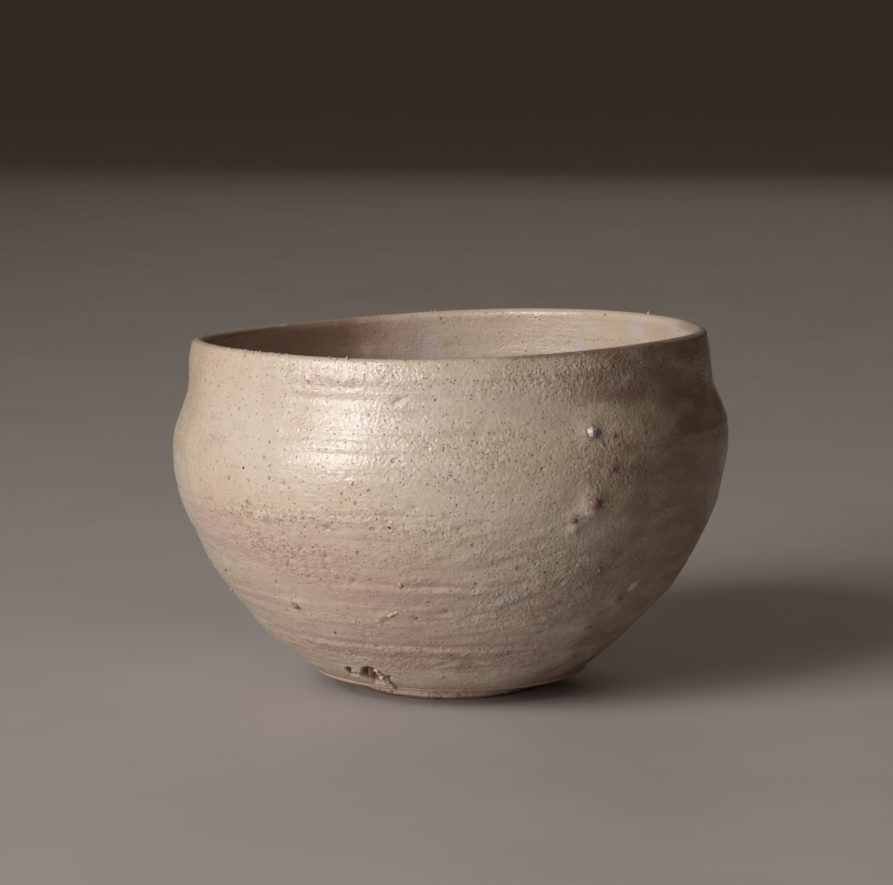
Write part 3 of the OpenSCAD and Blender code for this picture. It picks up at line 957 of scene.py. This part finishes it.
def foot_outline():
    """(radius, height, out sideways, out upwards) round the ring's section."""
    quarter = [(math.sin(t), math.cos(t)) for t in np.radians(np.linspace(0, 90, 6))]
    outer_low = [(FOOT_LOW_R - FOOT_EDGE * (1 - s), FOOT_EDGE * (1 - c), s, -c) for s, c in quarter]
    side = [(FOOT_LOW_R + (FOOT_TOP_R - FOOT_LOW_R) * t, FOOT_EDGE + (FOOT_H - FOOT_EDGE) * t, 1, 0)
            for t in np.linspace(0.08, 1, 12)]
    top = [(r, FOOT_H, 0, 0) for r in np.linspace(FOOT_TOP_R - 0.4, FOOT_IN_R + 0.4, 6)]
    inner = [(FOOT_IN_R, h, -1, 0) for h in np.linspace(FOOT_H, FOOT_EDGE, 9)]
    inner_low = [(FOOT_IN_R + FOOT_EDGE * (1 - c), FOOT_EDGE * (1 - s), -c, -s) for s, c in quarter[1:]]
    base = [(r, 0, 0, -1) for r in np.linspace(FOOT_IN_R + FOOT_EDGE + 0.3, FOOT_LOW_R - FOOT_EDGE - 0.3, 8)]
    return np.array(outer_low + side + top + inner + inner_low + base)


foot_rows = foot_outline()
foot_a = np.tile(TURNS, len(foot_rows))
foot_r, foot_h, foot_side, foot_up = (np.repeat(foot_rows[:, i], COLUMNS) for i in range(4))
foot_smooth = turned_points(foot_r, foot_a, foot_h)
chips = soft_step(clay_noise(foot_smooth, 4.5, 60) - 0.1 * foot_h, 0.25, 0.5)
foot_out = (0.22 * clay_noise(foot_smooth, 6, 61) + 0.12 * clay_noise(foot_smooth, 1.8, 62)
            + 0.07 * clay_noise(foot_smooth, 0.9, 63) - 0.30 * chips)
foot_points = turned_points(foot_r + foot_out * foot_side, foot_a,
                            np.maximum(foot_h + foot_out * foot_up, 0.05 * chips))
foot_ring = join_rings("foot_ring_pared", foot_points.reshape(len(foot_rows), COLUMNS, 3))
keep_masks(foot_ring, {"scorch": 1 - soft_step(foot_points[:, 2] + 0.5 * chips, 0.2, 1.3)})
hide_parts("foot_ring")
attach(foot_ring, "root")

# %% Build the slip
SLIP_SIDES = 14
SLIP_HALF_W, SLIP_HALF_H = 1.15, 0.62
slip_mid_r, slip_mid_h = SLIP_R - 1.0, UNDER_H - 0.05
slip_middle = turned_points(slip_mid_r, TURNS, np.full(COLUMNS, slip_mid_h))
squeeze = 1 + 0.35 * clay_noise(slip_middle, 7, 70) + 0.25 * clay_noise(slip_middle + 40, 2.2, 71)
slip_rings = []
for i in range(SLIP_SIDES):
    t = 2 * math.pi * i / SLIP_SIDES
    reach = slip_mid_r + SLIP_HALF_W * squeeze * math.cos(t)
    height = slip_mid_h + SLIP_HALF_H * squeeze * math.sin(t)
    slip_rings.append(turned_points(reach, TURNS, height))
slip_seam = join_rings("slip_seam", slip_rings)
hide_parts("foot_slip")
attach(slip_seam, "root")

# %% [markdown]
# ## Stones, grains, beads and crumbs
# Each small piece starts as a fine ball, is squashed to its own proportions, and is roughened with
# noise so that no two are alike. A stone is angular, so its noise is sharp; a bead of glaze is
# drawn smooth by its own surface tension, so it has almost none. Scattering one instanced rock
# would be lighter, but there are few of them and each can be looked at closely.

# %% Make one rough lump
def lump(shape, place, out, size, seed, rough=0.15, corners=0.0, fineness=3, tilt=0.0):
    """Adds a closed lump to a bmesh. size is its three half sides in mm: across, up, out."""
    ball = bmesh.ops.create_icosphere(shape, subdivisions=fineness, radius=1.0)["verts"]
    up = Vector((0, 0, 1))
    across = up.cross(out).normalized()
    along = out.cross(across).normalized()
    turned = across * math.cos(tilt) + along * math.sin(tilt)
    square = along * math.cos(tilt) - across * math.sin(tilt)
    for v in ball:
        way = v.co.copy()
        bumps = rough * noise.noise(way * 1.6 + Vector((seed * 3.1, seed, 0)))
        bumps += 0.4 * rough * noise.noise(way * 4.5 + Vector((0, seed, seed * 1.7)))
        flats = corners * (noise.cell(way * 1.1 + Vector((seed, 0, 0))) - 0.5)
        reach = 1 + bumps + flats
        spread = turned * way.x * size[0] + square * way.y * size[1] + out * way.z * size[2]
        v.co = (place + spread * reach) * MM
    return ball


def on_glaze(a, h):
    """(place, way out) in mm on the finished outside, at an angle and a height."""
    corner = np.array([[0, 0], [0.6, 0], [0, 0.35]])
    aa, hh = a + corner[:, 0], h + corner[:, 1]
    slope = np.interp(hh, OUT_H, OUT_SLOPE)
    size = np.hypot(1, slope)
    out = relief(aa, hh)[0] + out_of_round(aa, hh)
    reach = np.interp(hh, OUT_H, OUT_R) + out / size
    points = lifted(turned_points(reach, aa, hh - out * slope / size), aa)
    turn = math.radians(a)
    way = np.array([math.cos(turn), math.sin(turn), -slope[0]]) / size[0]
    return Vector(points[0]), Vector(way)


def finish_lumps(name, shape, node):
    """Makes the piece from a bmesh of lumps, in place of its CAD node."""
    mesh = bpy.data.meshes.new(name)
    bmesh.ops.recalc_face_normals(shape, faces=shape.faces)
    shape.to_mesh(mesh)
    shape.free()
    mesh.polygons.foreach_set("use_smooth", [True] * len(mesh.polygons))
    piece = bpy.data.objects.new(name, mesh)
    scene.collection.objects.link(piece)
    if node:
        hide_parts(node)
    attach(piece, "root")
    print(name, len(mesh.polygons), "faces")
    return piece


# %% [markdown]
# The stones sit about three quarters deep, so only a blunt knob shows. The highest one on the
# right of the front is white feldspar, half melted, and stands out more; the others kept a skin of
# glaze and clay. Iron grains melted into low dark blisters, and beads of glaze lie long and flat.

# %% Set the stones
WHITE_STONE_AT = -60
shape = bmesh.new()
near_it = [stone for stone in STONES if abs(turn_apart(stone[0], WHITE_STONE_AT)) < 10]
white_stone = max(near_it, key=lambda stone: stone[1])
stone_white = []
for i, (a, h, size) in enumerate(STONES):
    place, out = on_glaze(a, h)
    half = size / 2
    white = a == white_stone[0]
    sunk = place - out * (0.25 if white else 0.50) * half
    broad = half * (1.05 if white else 0.9)
    made = lump(shape, sunk, out, (broad, broad * 0.9, half * 0.85), 3 + i, 0.5, 0.16, tilt=i)
    stone_white += [1.0 if white else 0.25 * ((i * 7) % 3)] * len(made)
stones = finish_lumps("stones_in_the_wall", shape, "feldspar_stones")
keep_masks(stones, {"white": stone_white})

# %% Set the iron grains
shape = bmesh.new()
for i, (a, h, size) in enumerate(GRAINS):
    place, out = on_glaze(a, h)
    half = size / 2
    sides = (half * 1.1, half * 0.75, half * 0.6)
    lump(shape, place - out * 0.25 * half, out, sides, 40 + i, 0.5, 0.2, tilt=0.9 * i)
grains = finish_lumps("iron_grains_melted", shape, "iron_grains")

# %% Hang the beads of glaze
WHITE_BEAD_AT = -42
BEAD_TILT = math.radians(-28)
shape = bmesh.new()
white_bead = min(BEADS, key=lambda bead: abs(turn_apart(bead[0], WHITE_BEAD_AT)))
bead_white = []
for i, (a, h, size) in enumerate(BEADS):
    place, out = on_glaze(a, h)
    white = a == white_bead[0]
    half = (size * 0.30, size * 0.54, 0.55) if white else (size * 0.22, size * 0.38, 0.42)
    sunk = place - out * (0.08 if white else 0.20)
    made = lump(shape, sunk, out, half, 70 + i, 0.12, tilt=BEAD_TILT)
    bead_white += [1.0 if white else 0.0] * len(made)
beads = finish_lumps("milky_beads", shape, "glaze_drops")
keep_masks(beads, {"white": bead_white})

# %% [markdown]
# Crumbs of trimming clay stuck to the wet lip and were fired on. They are small and sharp, mostly
# on the left of the front. The ones the CAD has are joined by a trail of finer grit.

# %% Stick the crumbs to the lip
def on_lip(a, over):
    """(place, way out) on the lip. over is the angle from sideways to straight up, in degrees."""
    t, turn = math.radians(over), math.radians(a)
    out = Vector((math.cos(t) * math.cos(turn), math.cos(t) * math.sin(turn), math.sin(t)))
    reach = LIP_MID_R + LIP_ROUND * math.cos(t)
    point = np.array([[reach * math.cos(turn), reach * math.sin(turn), LIP_MID_H + LIP_ROUND * math.sin(t)]])
    return Vector(lifted(point, np.array([a]))[0]), out


shape = bmesh.new()
lip_crumbs = place_on_wall("lip_grit")
for i, (a, h, size) in enumerate(lip_crumbs):
    place, out = on_lip(a, 62)
    lump(shape, place, out, (size * 0.5, size * 0.3, size * 0.36), 90 + i, 0.8, 0.3, tilt=0.7 * i)
trail = np.concatenate([rng.normal(-138, 8, 40), rng.uniform(-180, 180, 12)])
for i, a in enumerate(trail):
    place, out = on_lip(a, rng.uniform(40, 95))
    half = rng.uniform(0.09, 0.22)
    lump(shape, place, out, (half * 1.4, half, half), 120 + i, 0.7, 0.3, fineness=2, tilt=rng.uniform(0, 3))
lip_grit = finish_lumps("crumbs_on_the_lip", shape, "lip_grit")

# %% [markdown]
# On the wall there is one crumb as long as a grain of rice, pressed flat where a shaving fell back
# on the soft clay, with smaller bits beside it. At the big tear a curl of clay was left hanging,
# and a pellet sits in the small tear. They are clay under glaze, so they take the glaze's finish.

# %% Lay the shavings and the curl
shape = bmesh.new()
# (angle, height, half width, half height, stands out, tilt in degrees)
SHAVINGS = [(-104.2, 24.7, 0.95, 0.42, 0.30, 30), (-102.9, 25.2, 0.6, 0.35, 0.30, 10),
            (-107.6, 23.1, 0.8, 0.35, 0.22, -10), (-100.8, 31.9, 0.6, 0.5, 0.28, 60),
            (-66.3, 14.1, 1.6, 0.20, 0.22, 17), (-79.5, 29.6, 0.35, 0.3, 0.25, 0),
            (-62.0, 34.6, 0.5, 0.35, 0.28, 40), (34.8, 27.2, 0.9, 0.35, 0.3, -20),
            (118.6, 21.2, 0.8, 0.35, 0.3, 15), (-169.5, 23.0, 0.7, 0.3, 0.25, 12)]
CURL_LUMPS = 7
for i, (a, h, half_w, half_h, proud, tilt) in enumerate(SHAVINGS):
    place, out = on_glaze(a, h)
    lump(shape, place, out, (half_w, half_h, proud), 200 + i, 0.55, 0.12, tilt=math.radians(tilt))
tear_a, tear_h = TEARS[0][:2]
for i in range(CURL_LUMPS):
    t = i / (CURL_LUMPS - 1)
    curl_a, curl_h = tear_a + 3.0 + 2.4 * t, tear_h + 1.6 - 4.2 * t
    half = 0.62 + 0.25 * math.sin(math.pi * t)
    place = around(curl_a, float(np.interp(curl_h, OUT_H, OUT_R)), max(curl_h, UNDER_H))
    lump(shape, place, on_glaze(curl_a, curl_h)[1], (half, 0.8, half), 230 + i, 0.45, 0.1, tilt=0.5)
pellet_a, pellet_h = TEARS[1][:2]
place, out = on_glaze(pellet_a, pellet_h)
lump(shape, place + out * 0.5 + Vector((0.35, 0, -0.25)), out, (0.8, 0.75, 0.6), 250, 0.3, tilt=0.3)
shavings = finish_lumps("shavings_and_curl", shape, None)

# %% [markdown]
# Coarse sand stuck to the foot where it stood on the kiln shelf. The largest bits are in the CAD,
# and finer bits are sprinkled round the lower edge.

# %% Stick the grit to the foot
shape = bmesh.new()
for i, (middle, size) in enumerate(sorted(solids_of("foot_grit"), key=lambda g: g[0][0])):
    out = Vector((middle[0], middle[1], 0)).normalized()
    place = Vector(middle)
    lump(shape, place, out, (size * 0.5, size * 0.45, size * 0.45), 300 + i, 0.6, 0.25)
for i, a in enumerate(rng.uniform(-180, 180, 46)):
    h = rng.uniform(0.35, 2.4)
    half = rng.uniform(0.12, 0.3)
    out = around(a, 1, 0)
    place = out * (FOOT_LOW_R + (FOOT_TOP_R - FOOT_LOW_R) * h / FOOT_H) + Vector((0, 0, h))
    lump(shape, place, out, (half * 1.2, half, half), 320 + i, 0.6, 0.3, fineness=2)
foot_grit = finish_lumps("grit_on_the_foot", shape, "foot_grit")

# %% [markdown]
# ## Finishes
# Each finish is a node material built from a few plain helpers: noise of a size in millimetres,
# dots of a spacing and radius, and a blend of two colours by a mask. They all read the piece's own
# coordinates in space, so nothing needs unwrapping and nothing has a seam.

# %% Helpers for the finishes
class Finish:
    """A material under construction, and the nodes in it."""

    def __init__(self, name):
        self.material = bpy.data.materials.new(name)
        self.material.use_nodes = True
        self.tree = self.material.node_tree
        self.shader = self.tree.nodes["Principled BSDF"]
        self.place = self.tree.nodes.new("ShaderNodeTexCoord").outputs["Object"]

    def add(self, kind, links=(), **settings):
        """A node with its settings. links are pairs of an input's name or number and its source."""
        node = self.tree.nodes.new(kind)
        for key, value in settings.items():
            setattr(node, key, value)
        for target, source in links:
            if isinstance(source, bpy.types.NodeSocket):
                self.tree.links.new(source, node.inputs[target])
            else:
                node.inputs[target].default_value = source
        return node

    def stretched(self, flat):
        """The piece's coordinates, squeezed so that what is drawn on them is flat times as wide."""
        links = [("Vector", self.place), ("Scale", (1 / flat, 1 / flat, 1))]
        return self.add("ShaderNodeMapping", links).outputs["Vector"]

    def noise(self, lump_mm, detail=4.0, rough=0.55, flat=1.0, bend=0.0):
        """Noise with lumps of a size in mm, from 0 to 1."""
        place = self.place if flat == 1.0 else self.stretched(flat)
        links = [("Vector", place), ("Scale", 1000 / lump_mm), ("Detail", detail), ("Roughness", rough),
                 ("Distortion", bend)]
        return self.add("ShaderNodeTexNoise", links).outputs["Fac"]

    def mask(self, name):
        """A number kept on the mesh."""
        return self.add("ShaderNodeAttribute", attribute_name=name).outputs["Fac"]

    def step(self, value, low, high):
        """0 below low, 1 above high, smooth between."""
        links = [("Value", value), ("From Min", low), ("From Max", high)]
        return self.add("ShaderNodeMapRange", links, interpolation_type="SMOOTHSTEP").outputs["Result"]

    def calc(self, operation, a, b, c=None):
        """One step of arithmetic on numbers from nodes."""
        links = [(0, a), (1, b)] + ([] if c is None else [(2, c)])
        return self.add("ShaderNodeMath", links, operation=operation).outputs[0]

    def blend(self, factor, first, second, way="MIX"):
        """first where factor is 0 and second where it is 1."""
        node = self.add("ShaderNodeMix", data_type="RGBA", blend_type=way)
        for socket, source in zip((node.inputs[0], node.inputs[6], node.inputs[7]), (factor, first, second)):
            if isinstance(source, bpy.types.NodeSocket):
                self.tree.links.new(source, socket)
            else:
                socket.default_value = source if isinstance(source, (int, float)) else (*source, 1)
        return node.outputs[2]

    def over(self, colour, top, mask, strength):
        """A colour with another laid over it where a mask is 1, as strongly as asked."""
        return self.blend(self.calc("MULTIPLY", mask, strength), colour, top)

    def frayed(self, mask, grain, by):
        """A mask whose edge is frayed by noise, by half of by each way."""
        return self.calc("ADD", mask, self.calc("MULTIPLY_ADD", grain, by, -by / 2))

    def dots(self, spacing_mm, radius_mm, share, seed):
        """Irregular dots, 1 inside and 0 outside. share of the places have one."""
        wobble = self.add("ShaderNodeTexNoise", [("Vector", self.place), ("Scale", 1000 / (radius_mm * 1.4))])
        push = self.add("ShaderNodeVectorMath", [(0, wobble.outputs["Color"]), (1, (0.5, 0.5, 0.5))],
                        operation="SUBTRACT").outputs[0]
        push = self.add("ShaderNodeVectorMath", [(0, push), ("Scale", radius_mm * 1.3 * MM)],
                        operation="SCALE").outputs[0]
        moved = self.add("ShaderNodeVectorMath", [(0, self.place), (1, push)], operation="ADD").outputs[0]
        links = [("Vector", moved), ("Location", (seed, seed * 0.7, seed * 0.3))]
        shifted = self.add("ShaderNodeMapping", links).outputs["Vector"]
        cells = self.add("ShaderNodeTexVoronoi", [("Vector", shifted), ("Scale", 1000 / spacing_mm)])
        reach = radius_mm / spacing_mm
        inside = self.step(cells.outputs["Distance"], reach * 1.15, reach * 0.7)
        pick = self.add("ShaderNodeSeparateColor", [("Color", cells.outputs["Color"])]).outputs["Red"]
        chosen = self.calc("LESS_THAN", pick, share)
        return self.calc("MULTIPLY", inside, chosen)

    def bump(self, height, depth_mm, under=None):
        """Small relief of a depth in mm. under is the bump that this one lies on."""
        links = [("Height", height), ("Distance", depth_mm * MM), ("Strength", 1.0)]
        if under is not None:
            links.append(("Normal", under))
        return self.add("ShaderNodeBump", links).outputs["Normal"]

    def use(self, piece, **sockets):
        """Sets the shader's sockets and puts the finish on a piece."""
        for name, source in sockets.items():
            socket = self.shader.inputs[name.replace("_", " ")]
            if isinstance(source, bpy.types.NodeSocket):
                self.tree.links.new(source, socket)
            else:
                socket.default_value = source
        piece.data.materials.clear()
        piece.data.materials.append(self.material)
        print(self.material.name, len(self.tree.nodes), "nodes")


print("helpers ready")

# %% [markdown]
# ### The glaze
# It is a thin feldspar glaze on sandy clay: warm buff where it is even, pink where it blushed,
# milky lilac where it pooled, and peppered with red-brown and black specks that bled from iron in
# the clay. Each colour is laid over the last by its own mask, from the widest cloud down to the
# smallest speck, as the fire did it. Painted shade is laid in the same way, over the unlit side,
# the pits, the tears and the sand's grains, and pale dots are painted glints. One noise with many
# colours would be quicker, but then the pink, the milk and the specks would all have the same size
# and shape.

# %% Colours of the glaze
BUFF = (0.61, 0.475, 0.335)
CREAM = (0.66, 0.555, 0.435)
HONEY = (0.56, 0.40, 0.235)
PINK = (0.570, 0.405, 0.325)
LILAC = (0.60, 0.53, 0.52)
BROWN = (0.235, 0.135, 0.085)
RUST = (0.26, 0.070, 0.045)
SOOT = (0.060, 0.045, 0.045)
# Painted shade: the brown laid over the side away from the window light, outside on the right and inside on
# the left.
PAINTED_SHADE_BROWN = (0.245, 0.125, 0.065)
MOTTLE_AND_GRAIN_SHADE = (0.28, 0.165, 0.12)
DUST = (0.75, 0.68, 0.60)
HALO = (0.27, 0.165, 0.125)
TORN_CLAY = (0.33, 0.20, 0.15)
PIT_CLAY_IN_SHADE = (0.24, 0.14, 0.115)
# Clay in the pits, darker than the torn clay, partly as painted shade in the hollows.
BLOT = (0.29, 0.125, 0.09)
PORE = (0.20, 0.14, 0.15)
# Painted glints: pale dots standing in for sparkles of light on quartz grains.
PAINTED_GLINT = (0.84, 0.79, 0.76)
# Bare clay in the tears, darkened well below the body's clay as painted shade in the holes.
TEAR_CLAY_IN_SHADE = (0.16, 0.070, 0.045)


def fired_colour(f, fine):
    """The wide clouds of colour and the painted shade of the unlit side, down to the brown of pits and torn
    places.
    """
    colour = f.blend(f.step(f.noise(34, 3, 0.5, flat=1.5), 0.35, 0.68), BUFF, CREAM)
    colour = f.over(colour, HONEY, f.step(f.noise(9, 4, 0.6, flat=1.5, bend=0.3), 0.50, 0.75), 0.45)
    ragged = f.frayed(f.mask("blush"), f.noise(3.4, 6, 0.75, flat=2.6), 1.3)
    colour = f.over(colour, PINK, f.step(ragged, 0.0, 1.15), 0.85)
    # Painted shade: the side away from the window light is darkened to brown.
    painted_side_shade = f.frayed(f.mask("painted_side_shade"), f.noise(4, 5, 0.7, flat=1.6), 0.8)
    colour = f.over(colour, PAINTED_SHADE_BROWN, f.step(painted_side_shade, 0.0, 1.0), 0.72)
    # Dark mottle, strongest over the sand: partly iron in the clay, partly painted shade of the sand's
    # grains.
    mottle_and_shade = f.calc("MULTIPLY_ADD", f.mask("sandy"), 0.50, 0.12)
    colour = f.over(colour, MOTTLE_AND_GRAIN_SHADE, f.step(fine, 0.40, 0.72), mottle_and_shade)
    colour = f.over(colour, DUST, f.step(f.noise(0.55, 3, 0.6), 0.56, 0.72), 0.14)
    milk = f.frayed(f.mask("milk"), f.noise(1.2, 4, 0.6), 0.5)
    colour = f.over(colour, LILAC, f.step(milk, 0.30, 0.85), 0.62)
    thin = f.frayed(f.mask("thin"), f.noise(0.9, 4, 0.65), 0.6)
    colour = f.over(colour, BROWN, f.step(thin, 0.35, 1.05), 0.80)
    halo = f.frayed(f.mask("halo"), fine, 0.5)
    colour = f.over(colour, HALO, f.step(halo, 0.25, 0.9), 0.70)
    torn = f.frayed(f.mask("torn"), f.noise(0.9, 4, 0.7), 0.8)
    colour = f.over(colour, TORN_CLAY, f.step(torn, 0.35, 0.9), 0.40)
    # Pits are darkened: partly the clay showing through, partly painted shade in the hollow.
    return f.over(colour, PIT_CLAY_IN_SHADE, f.step(f.mask("pit"), 0.30, 0.90), 0.60)


print("18 colours in the glaze, from cream to the dark clay of the tears")

# %% [markdown]
# The specks are round cells of a Voronoi pattern. Red and black ones are small, and they crowd
# where the sand lies near the skin; blots and pores are larger and rarer. Each kind has a seed of
# its own, so that they fall in different places. A few pale dots are quartz in the sand, painted
# bright as glints of light.

# %% Specks in the glaze
def specked(f, colour, share):
    """(colour with all its specks, the mask of those that are sunk into the skin)."""
    sandy = f.calc("MULTIPLY", f.mask("sandy"), share)
    rust = f.dots(0.80, 0.17, f.calc("MULTIPLY_ADD", sandy, 0.70, 0.16 * share), 3.0)
    blots = f.dots(3.0, 0.40, f.calc("MULTIPLY_ADD", sandy, 0.34, 0.20 * share), 5.0)
    soot = f.dots(1.2, 0.14, f.calc("MULTIPLY_ADD", sandy, 0.46, 0.10 * share), 9.0)
    pores = f.dots(4.4, 0.48, 0.22 * share, 14.0)
    # Painted glints: pale dots for the sparkle of light on quartz in the sand.
    painted_glints = f.dots(1.3, 0.14, f.calc("MULTIPLY_ADD", sandy, 0.45, 0.04), 27.0)
    for top, mask, strength in ((RUST, rust, 0.66), (BLOT, blots, 0.50), (SOOT, soot, 0.85),
                                (PORE, pores, 0.55), (PAINTED_GLINT, painted_glints, 0.75)):
        colour = f.over(colour, top, mask, strength)
    return colour, f.calc("MAXIMUM", f.calc("MAXIMUM", rust, blots), f.calc("MAXIMUM", soot, pores))


print("rust, blots, soot, pores and glints")

# %% [markdown]
# The gloss is real glass, but the sand under it breaks every reflection into worms and sparks. So
# the shader is glossy, and five layers of fine bump do the breaking: lumps, flat streaks from the
# rib, grains, sunk specks and a ripple. A rough shader would only blur the light evenly. Only the
# bare clay, the thin lip and the blush are duller.

# %% Gloss and skin of the glaze
def broken_skin(f, sunk):
    """Bump of the sand under the glaze, stronger where it is sandy."""
    cells = f.add("ShaderNodeTexVoronoi", [("Vector", f.place), ("Scale", 1000 / 0.75)], feature="SMOOTH_F1")
    coarse = f.calc("MULTIPLY_ADD", f.mask("sandy"), 1.7, 0.35)
    lumps = f.bump(f.calc("MULTIPLY", f.noise(1.4, 3, 0.55, bend=0.3), coarse), 0.15)
    streaks = f.bump(f.noise(0.8, 4, 0.65, flat=9), 0.13, lumps)
    grains = f.bump(f.calc("MULTIPLY", cells.outputs["Distance"], coarse), 0.10, streaks)
    holes = f.bump(f.calc("SUBTRACT", 1.0, sunk), 0.16, grains)
    return f.bump(f.noise(0.70, 3, 0.6), 0.12, holes)


def glaze_finish(name, speck_share=1.0):
    """The glaze, with its masks if the piece has them: (finish, colour, roughness, bump)."""
    f = Finish(name)
    colour, sunk = specked(f, fired_colour(f, f.noise(1.6, 5, 0.65)), speck_share)
    bare = f.step(f.mask("bare"), 0.1, 0.7)
    # The tears show bare clay, painted dark as the shade inside the holes.
    colour = f.blend(bare, colour, TEAR_CLAY_IN_SHADE)
    gloss = f.calc("MULTIPLY_ADD", f.step(f.noise(5, 4, 0.6, flat=1.4), 0.35, 0.7), 0.13, 0.15)
    dull = f.calc("ADD", bare, f.step(f.mask("thin"), 0.2, 0.9))
    gloss = f.calc("ADD", gloss, f.calc("MULTIPLY", dull, 0.30))
    gloss = f.calc("ADD", gloss, f.calc("MULTIPLY", f.mask("blush"), 0.13))
    return f, colour, gloss, broken_skin(f, sunk)


outer_finish, colour, gloss, skin = glaze_finish("feldspar_glaze_outside")
outer_finish.use(outer_skin, Base_Color=colour, Roughness=gloss, Normal=skin, IOR=1.58)
inner_finish, colour, gloss, skin = glaze_finish("feldspar_glaze_inside", 0.6)
inner_finish.use(inner_skin, Base_Color=colour, Roughness=gloss, Normal=skin, IOR=1.58)
shaving_finish, colour, gloss, skin = glaze_finish("glaze_on_shavings", 0.5)
scorched = shaving_finish.step(shaving_finish.noise(1.3, 4), 0.35, 0.7)
toasted = shaving_finish.blend(scorched, colour, (0.42, 0.27, 0.21))
shaving_finish.use(shavings, Base_Color=toasted, Roughness=gloss, Normal=skin, IOR=1.5)

# %% [markdown]
# ### Bare clay, slip, stones and grit
# The unglazed clay is matt and sandy. The foot is painted much lighter than the body's clay, as
# painted light bounced up from below, and its lower edge is scorched orange where it stood in
# ash. Slip is the same clay made liquid, so it is finer and browner. Melted feldspar is white
# glass, iron is black and half shiny, and beads of glaze are milky all through.

# %% Finish the bare clay
PALE_SAND = (0.62, 0.50, 0.42)
IRON_SPECK = (0.13, 0.06, 0.045)
SCORCH = (0.42, 0.20, 0.11)


def clay_finish(name, light, dark, sand_mm=0.8):
    """Matt sandy clay between two colours, with iron specks."""
    f = Finish(name)
    colour = f.blend(f.step(f.noise(7, 5, 0.6, flat=1.6), 0.35, 0.7), light, dark)
    colour = f.over(colour, PALE_SAND, f.step(f.noise(0.9, 4, 0.6), 0.5, 0.75), 0.4)
    colour = f.over(colour, IRON_SPECK, f.dots(2.2, 0.22, 0.35, 21.0), 0.7)
    rough = f.calc("MULTIPLY_ADD", f.noise(1.2, 3), 0.2, 0.62)
    under = f.bump(f.noise(sand_mm * 2.2, 4, 0.6), 0.5)
    skin = f.bump(f.noise(sand_mm * 0.5, 3, 0.7), 0.22, under)
    return f, colour, rough, skin


body_clay, colour, rough, skin = clay_finish("bare_clay", (0.50, 0.34, 0.26), (0.38, 0.23, 0.165))
body_clay.use(clay_body, Base_Color=colour, Roughness=rough, Normal=skin)
# Painted light: the foot's clay colours are far lighter than the body's, for light bounced up from below.
foot_clay, colour, rough, skin = clay_finish("foot_clay", (0.86, 0.68, 0.58), (0.70, 0.52, 0.43))
scorch_edge = foot_clay.frayed(foot_clay.mask("scorch"), foot_clay.noise(1.6, 4, 0.6), 1.0)
colour = foot_clay.blend(foot_clay.step(scorch_edge, 0.3, 0.9), colour, SCORCH)
foot_clay.use(foot_ring, Base_Color=colour, Roughness=rough, Normal=skin)
slip_clay, colour, rough, skin = clay_finish("slip", (0.50, 0.35, 0.28), (0.30, 0.18, 0.13), 0.6)
slip_clay.use(slip_seam, Base_Color=colour, Roughness=rough, Normal=skin)

# %% Finish the stones, the iron, the beads and the grit
spar = Finish("feldspar_and_stone")
brown = spar.blend(spar.step(spar.noise(1.1, 4), 0.35, 0.65), (0.33, 0.20, 0.14), (0.17, 0.10, 0.08))
white = spar.blend(spar.step(spar.noise(0.6, 3), 0.4, 0.7), (0.72, 0.66, 0.68), (0.50, 0.42, 0.42))
spar.use(stones, Base_Color=spar.blend(spar.step(spar.mask("white"), 0.3, 0.9), brown, white),
         Roughness=spar.calc("MULTIPLY_ADD", spar.noise(0.8, 3), 0.3, 0.18),
         Normal=spar.bump(spar.noise(0.5, 4, 0.6), 0.15), IOR=1.52)

iron = Finish("melted_iron")
iron_colour = iron.blend(iron.step(iron.noise(0.4, 3), 0.4, 0.7), (0.035, 0.028, 0.030), (0.13, 0.060, 0.045))
iron.use(grains, Base_Color=iron_colour, Roughness=iron.calc("MULTIPLY_ADD", iron.noise(0.5, 2), 0.3, 0.2),
         Normal=iron.bump(iron.noise(0.3, 3), 0.10))

milk = Finish("milky_glaze")
milky = milk.blend(milk.step(milk.noise(1.4, 4, 0.6), 0.35, 0.7), (0.68, 0.62, 0.61), (0.52, 0.45, 0.43))
creamy = milk.blend(milk.step(milk.noise(1.1, 4, 0.6), 0.35, 0.7), (0.55, 0.425, 0.345), (0.45, 0.33, 0.26))
milk_colour = milk.blend(milk.mask("white"), creamy, milky)
milk.use(beads, Base_Color=milk_colour, Roughness=milk.calc("MULTIPLY_ADD", milk.noise(0.9, 3), 0.2, 0.12),
         Normal=milk.bump(milk.noise(0.8, 3), 0.06), Subsurface_Weight=0.15, Subsurface_Scale=0.0006)

for piece, name in ((lip_grit, "crumbs"), (foot_grit, "kiln_grit")):
    crumb = Finish(name)
    pale = crumb.blend(crumb.step(crumb.noise(0.7, 4), 0.35, 0.65), (0.68, 0.55, 0.48), (0.48, 0.34, 0.28))
    crumb.use(piece, Base_Color=pale, Roughness=crumb.calc("MULTIPLY_ADD", crumb.noise(0.5, 3), 0.3, 0.45),
              Normal=crumb.bump(crumb.noise(0.35, 3), 0.12))

# %% Finish the floor
plain = Finish("plain_floor")
tone = plain.blend(plain.step(plain.noise(60, 3), 0.3, 0.7), (0.475, 0.435, 0.395), (0.505, 0.465, 0.425))
plain.use(floor, Base_Color=tone, Roughness=plain.calc("MULTIPLY_ADD", plain.noise(20, 2), 0.1, 0.5),
          Normal=plain.bump(plain.noise(3, 2), 0.02))
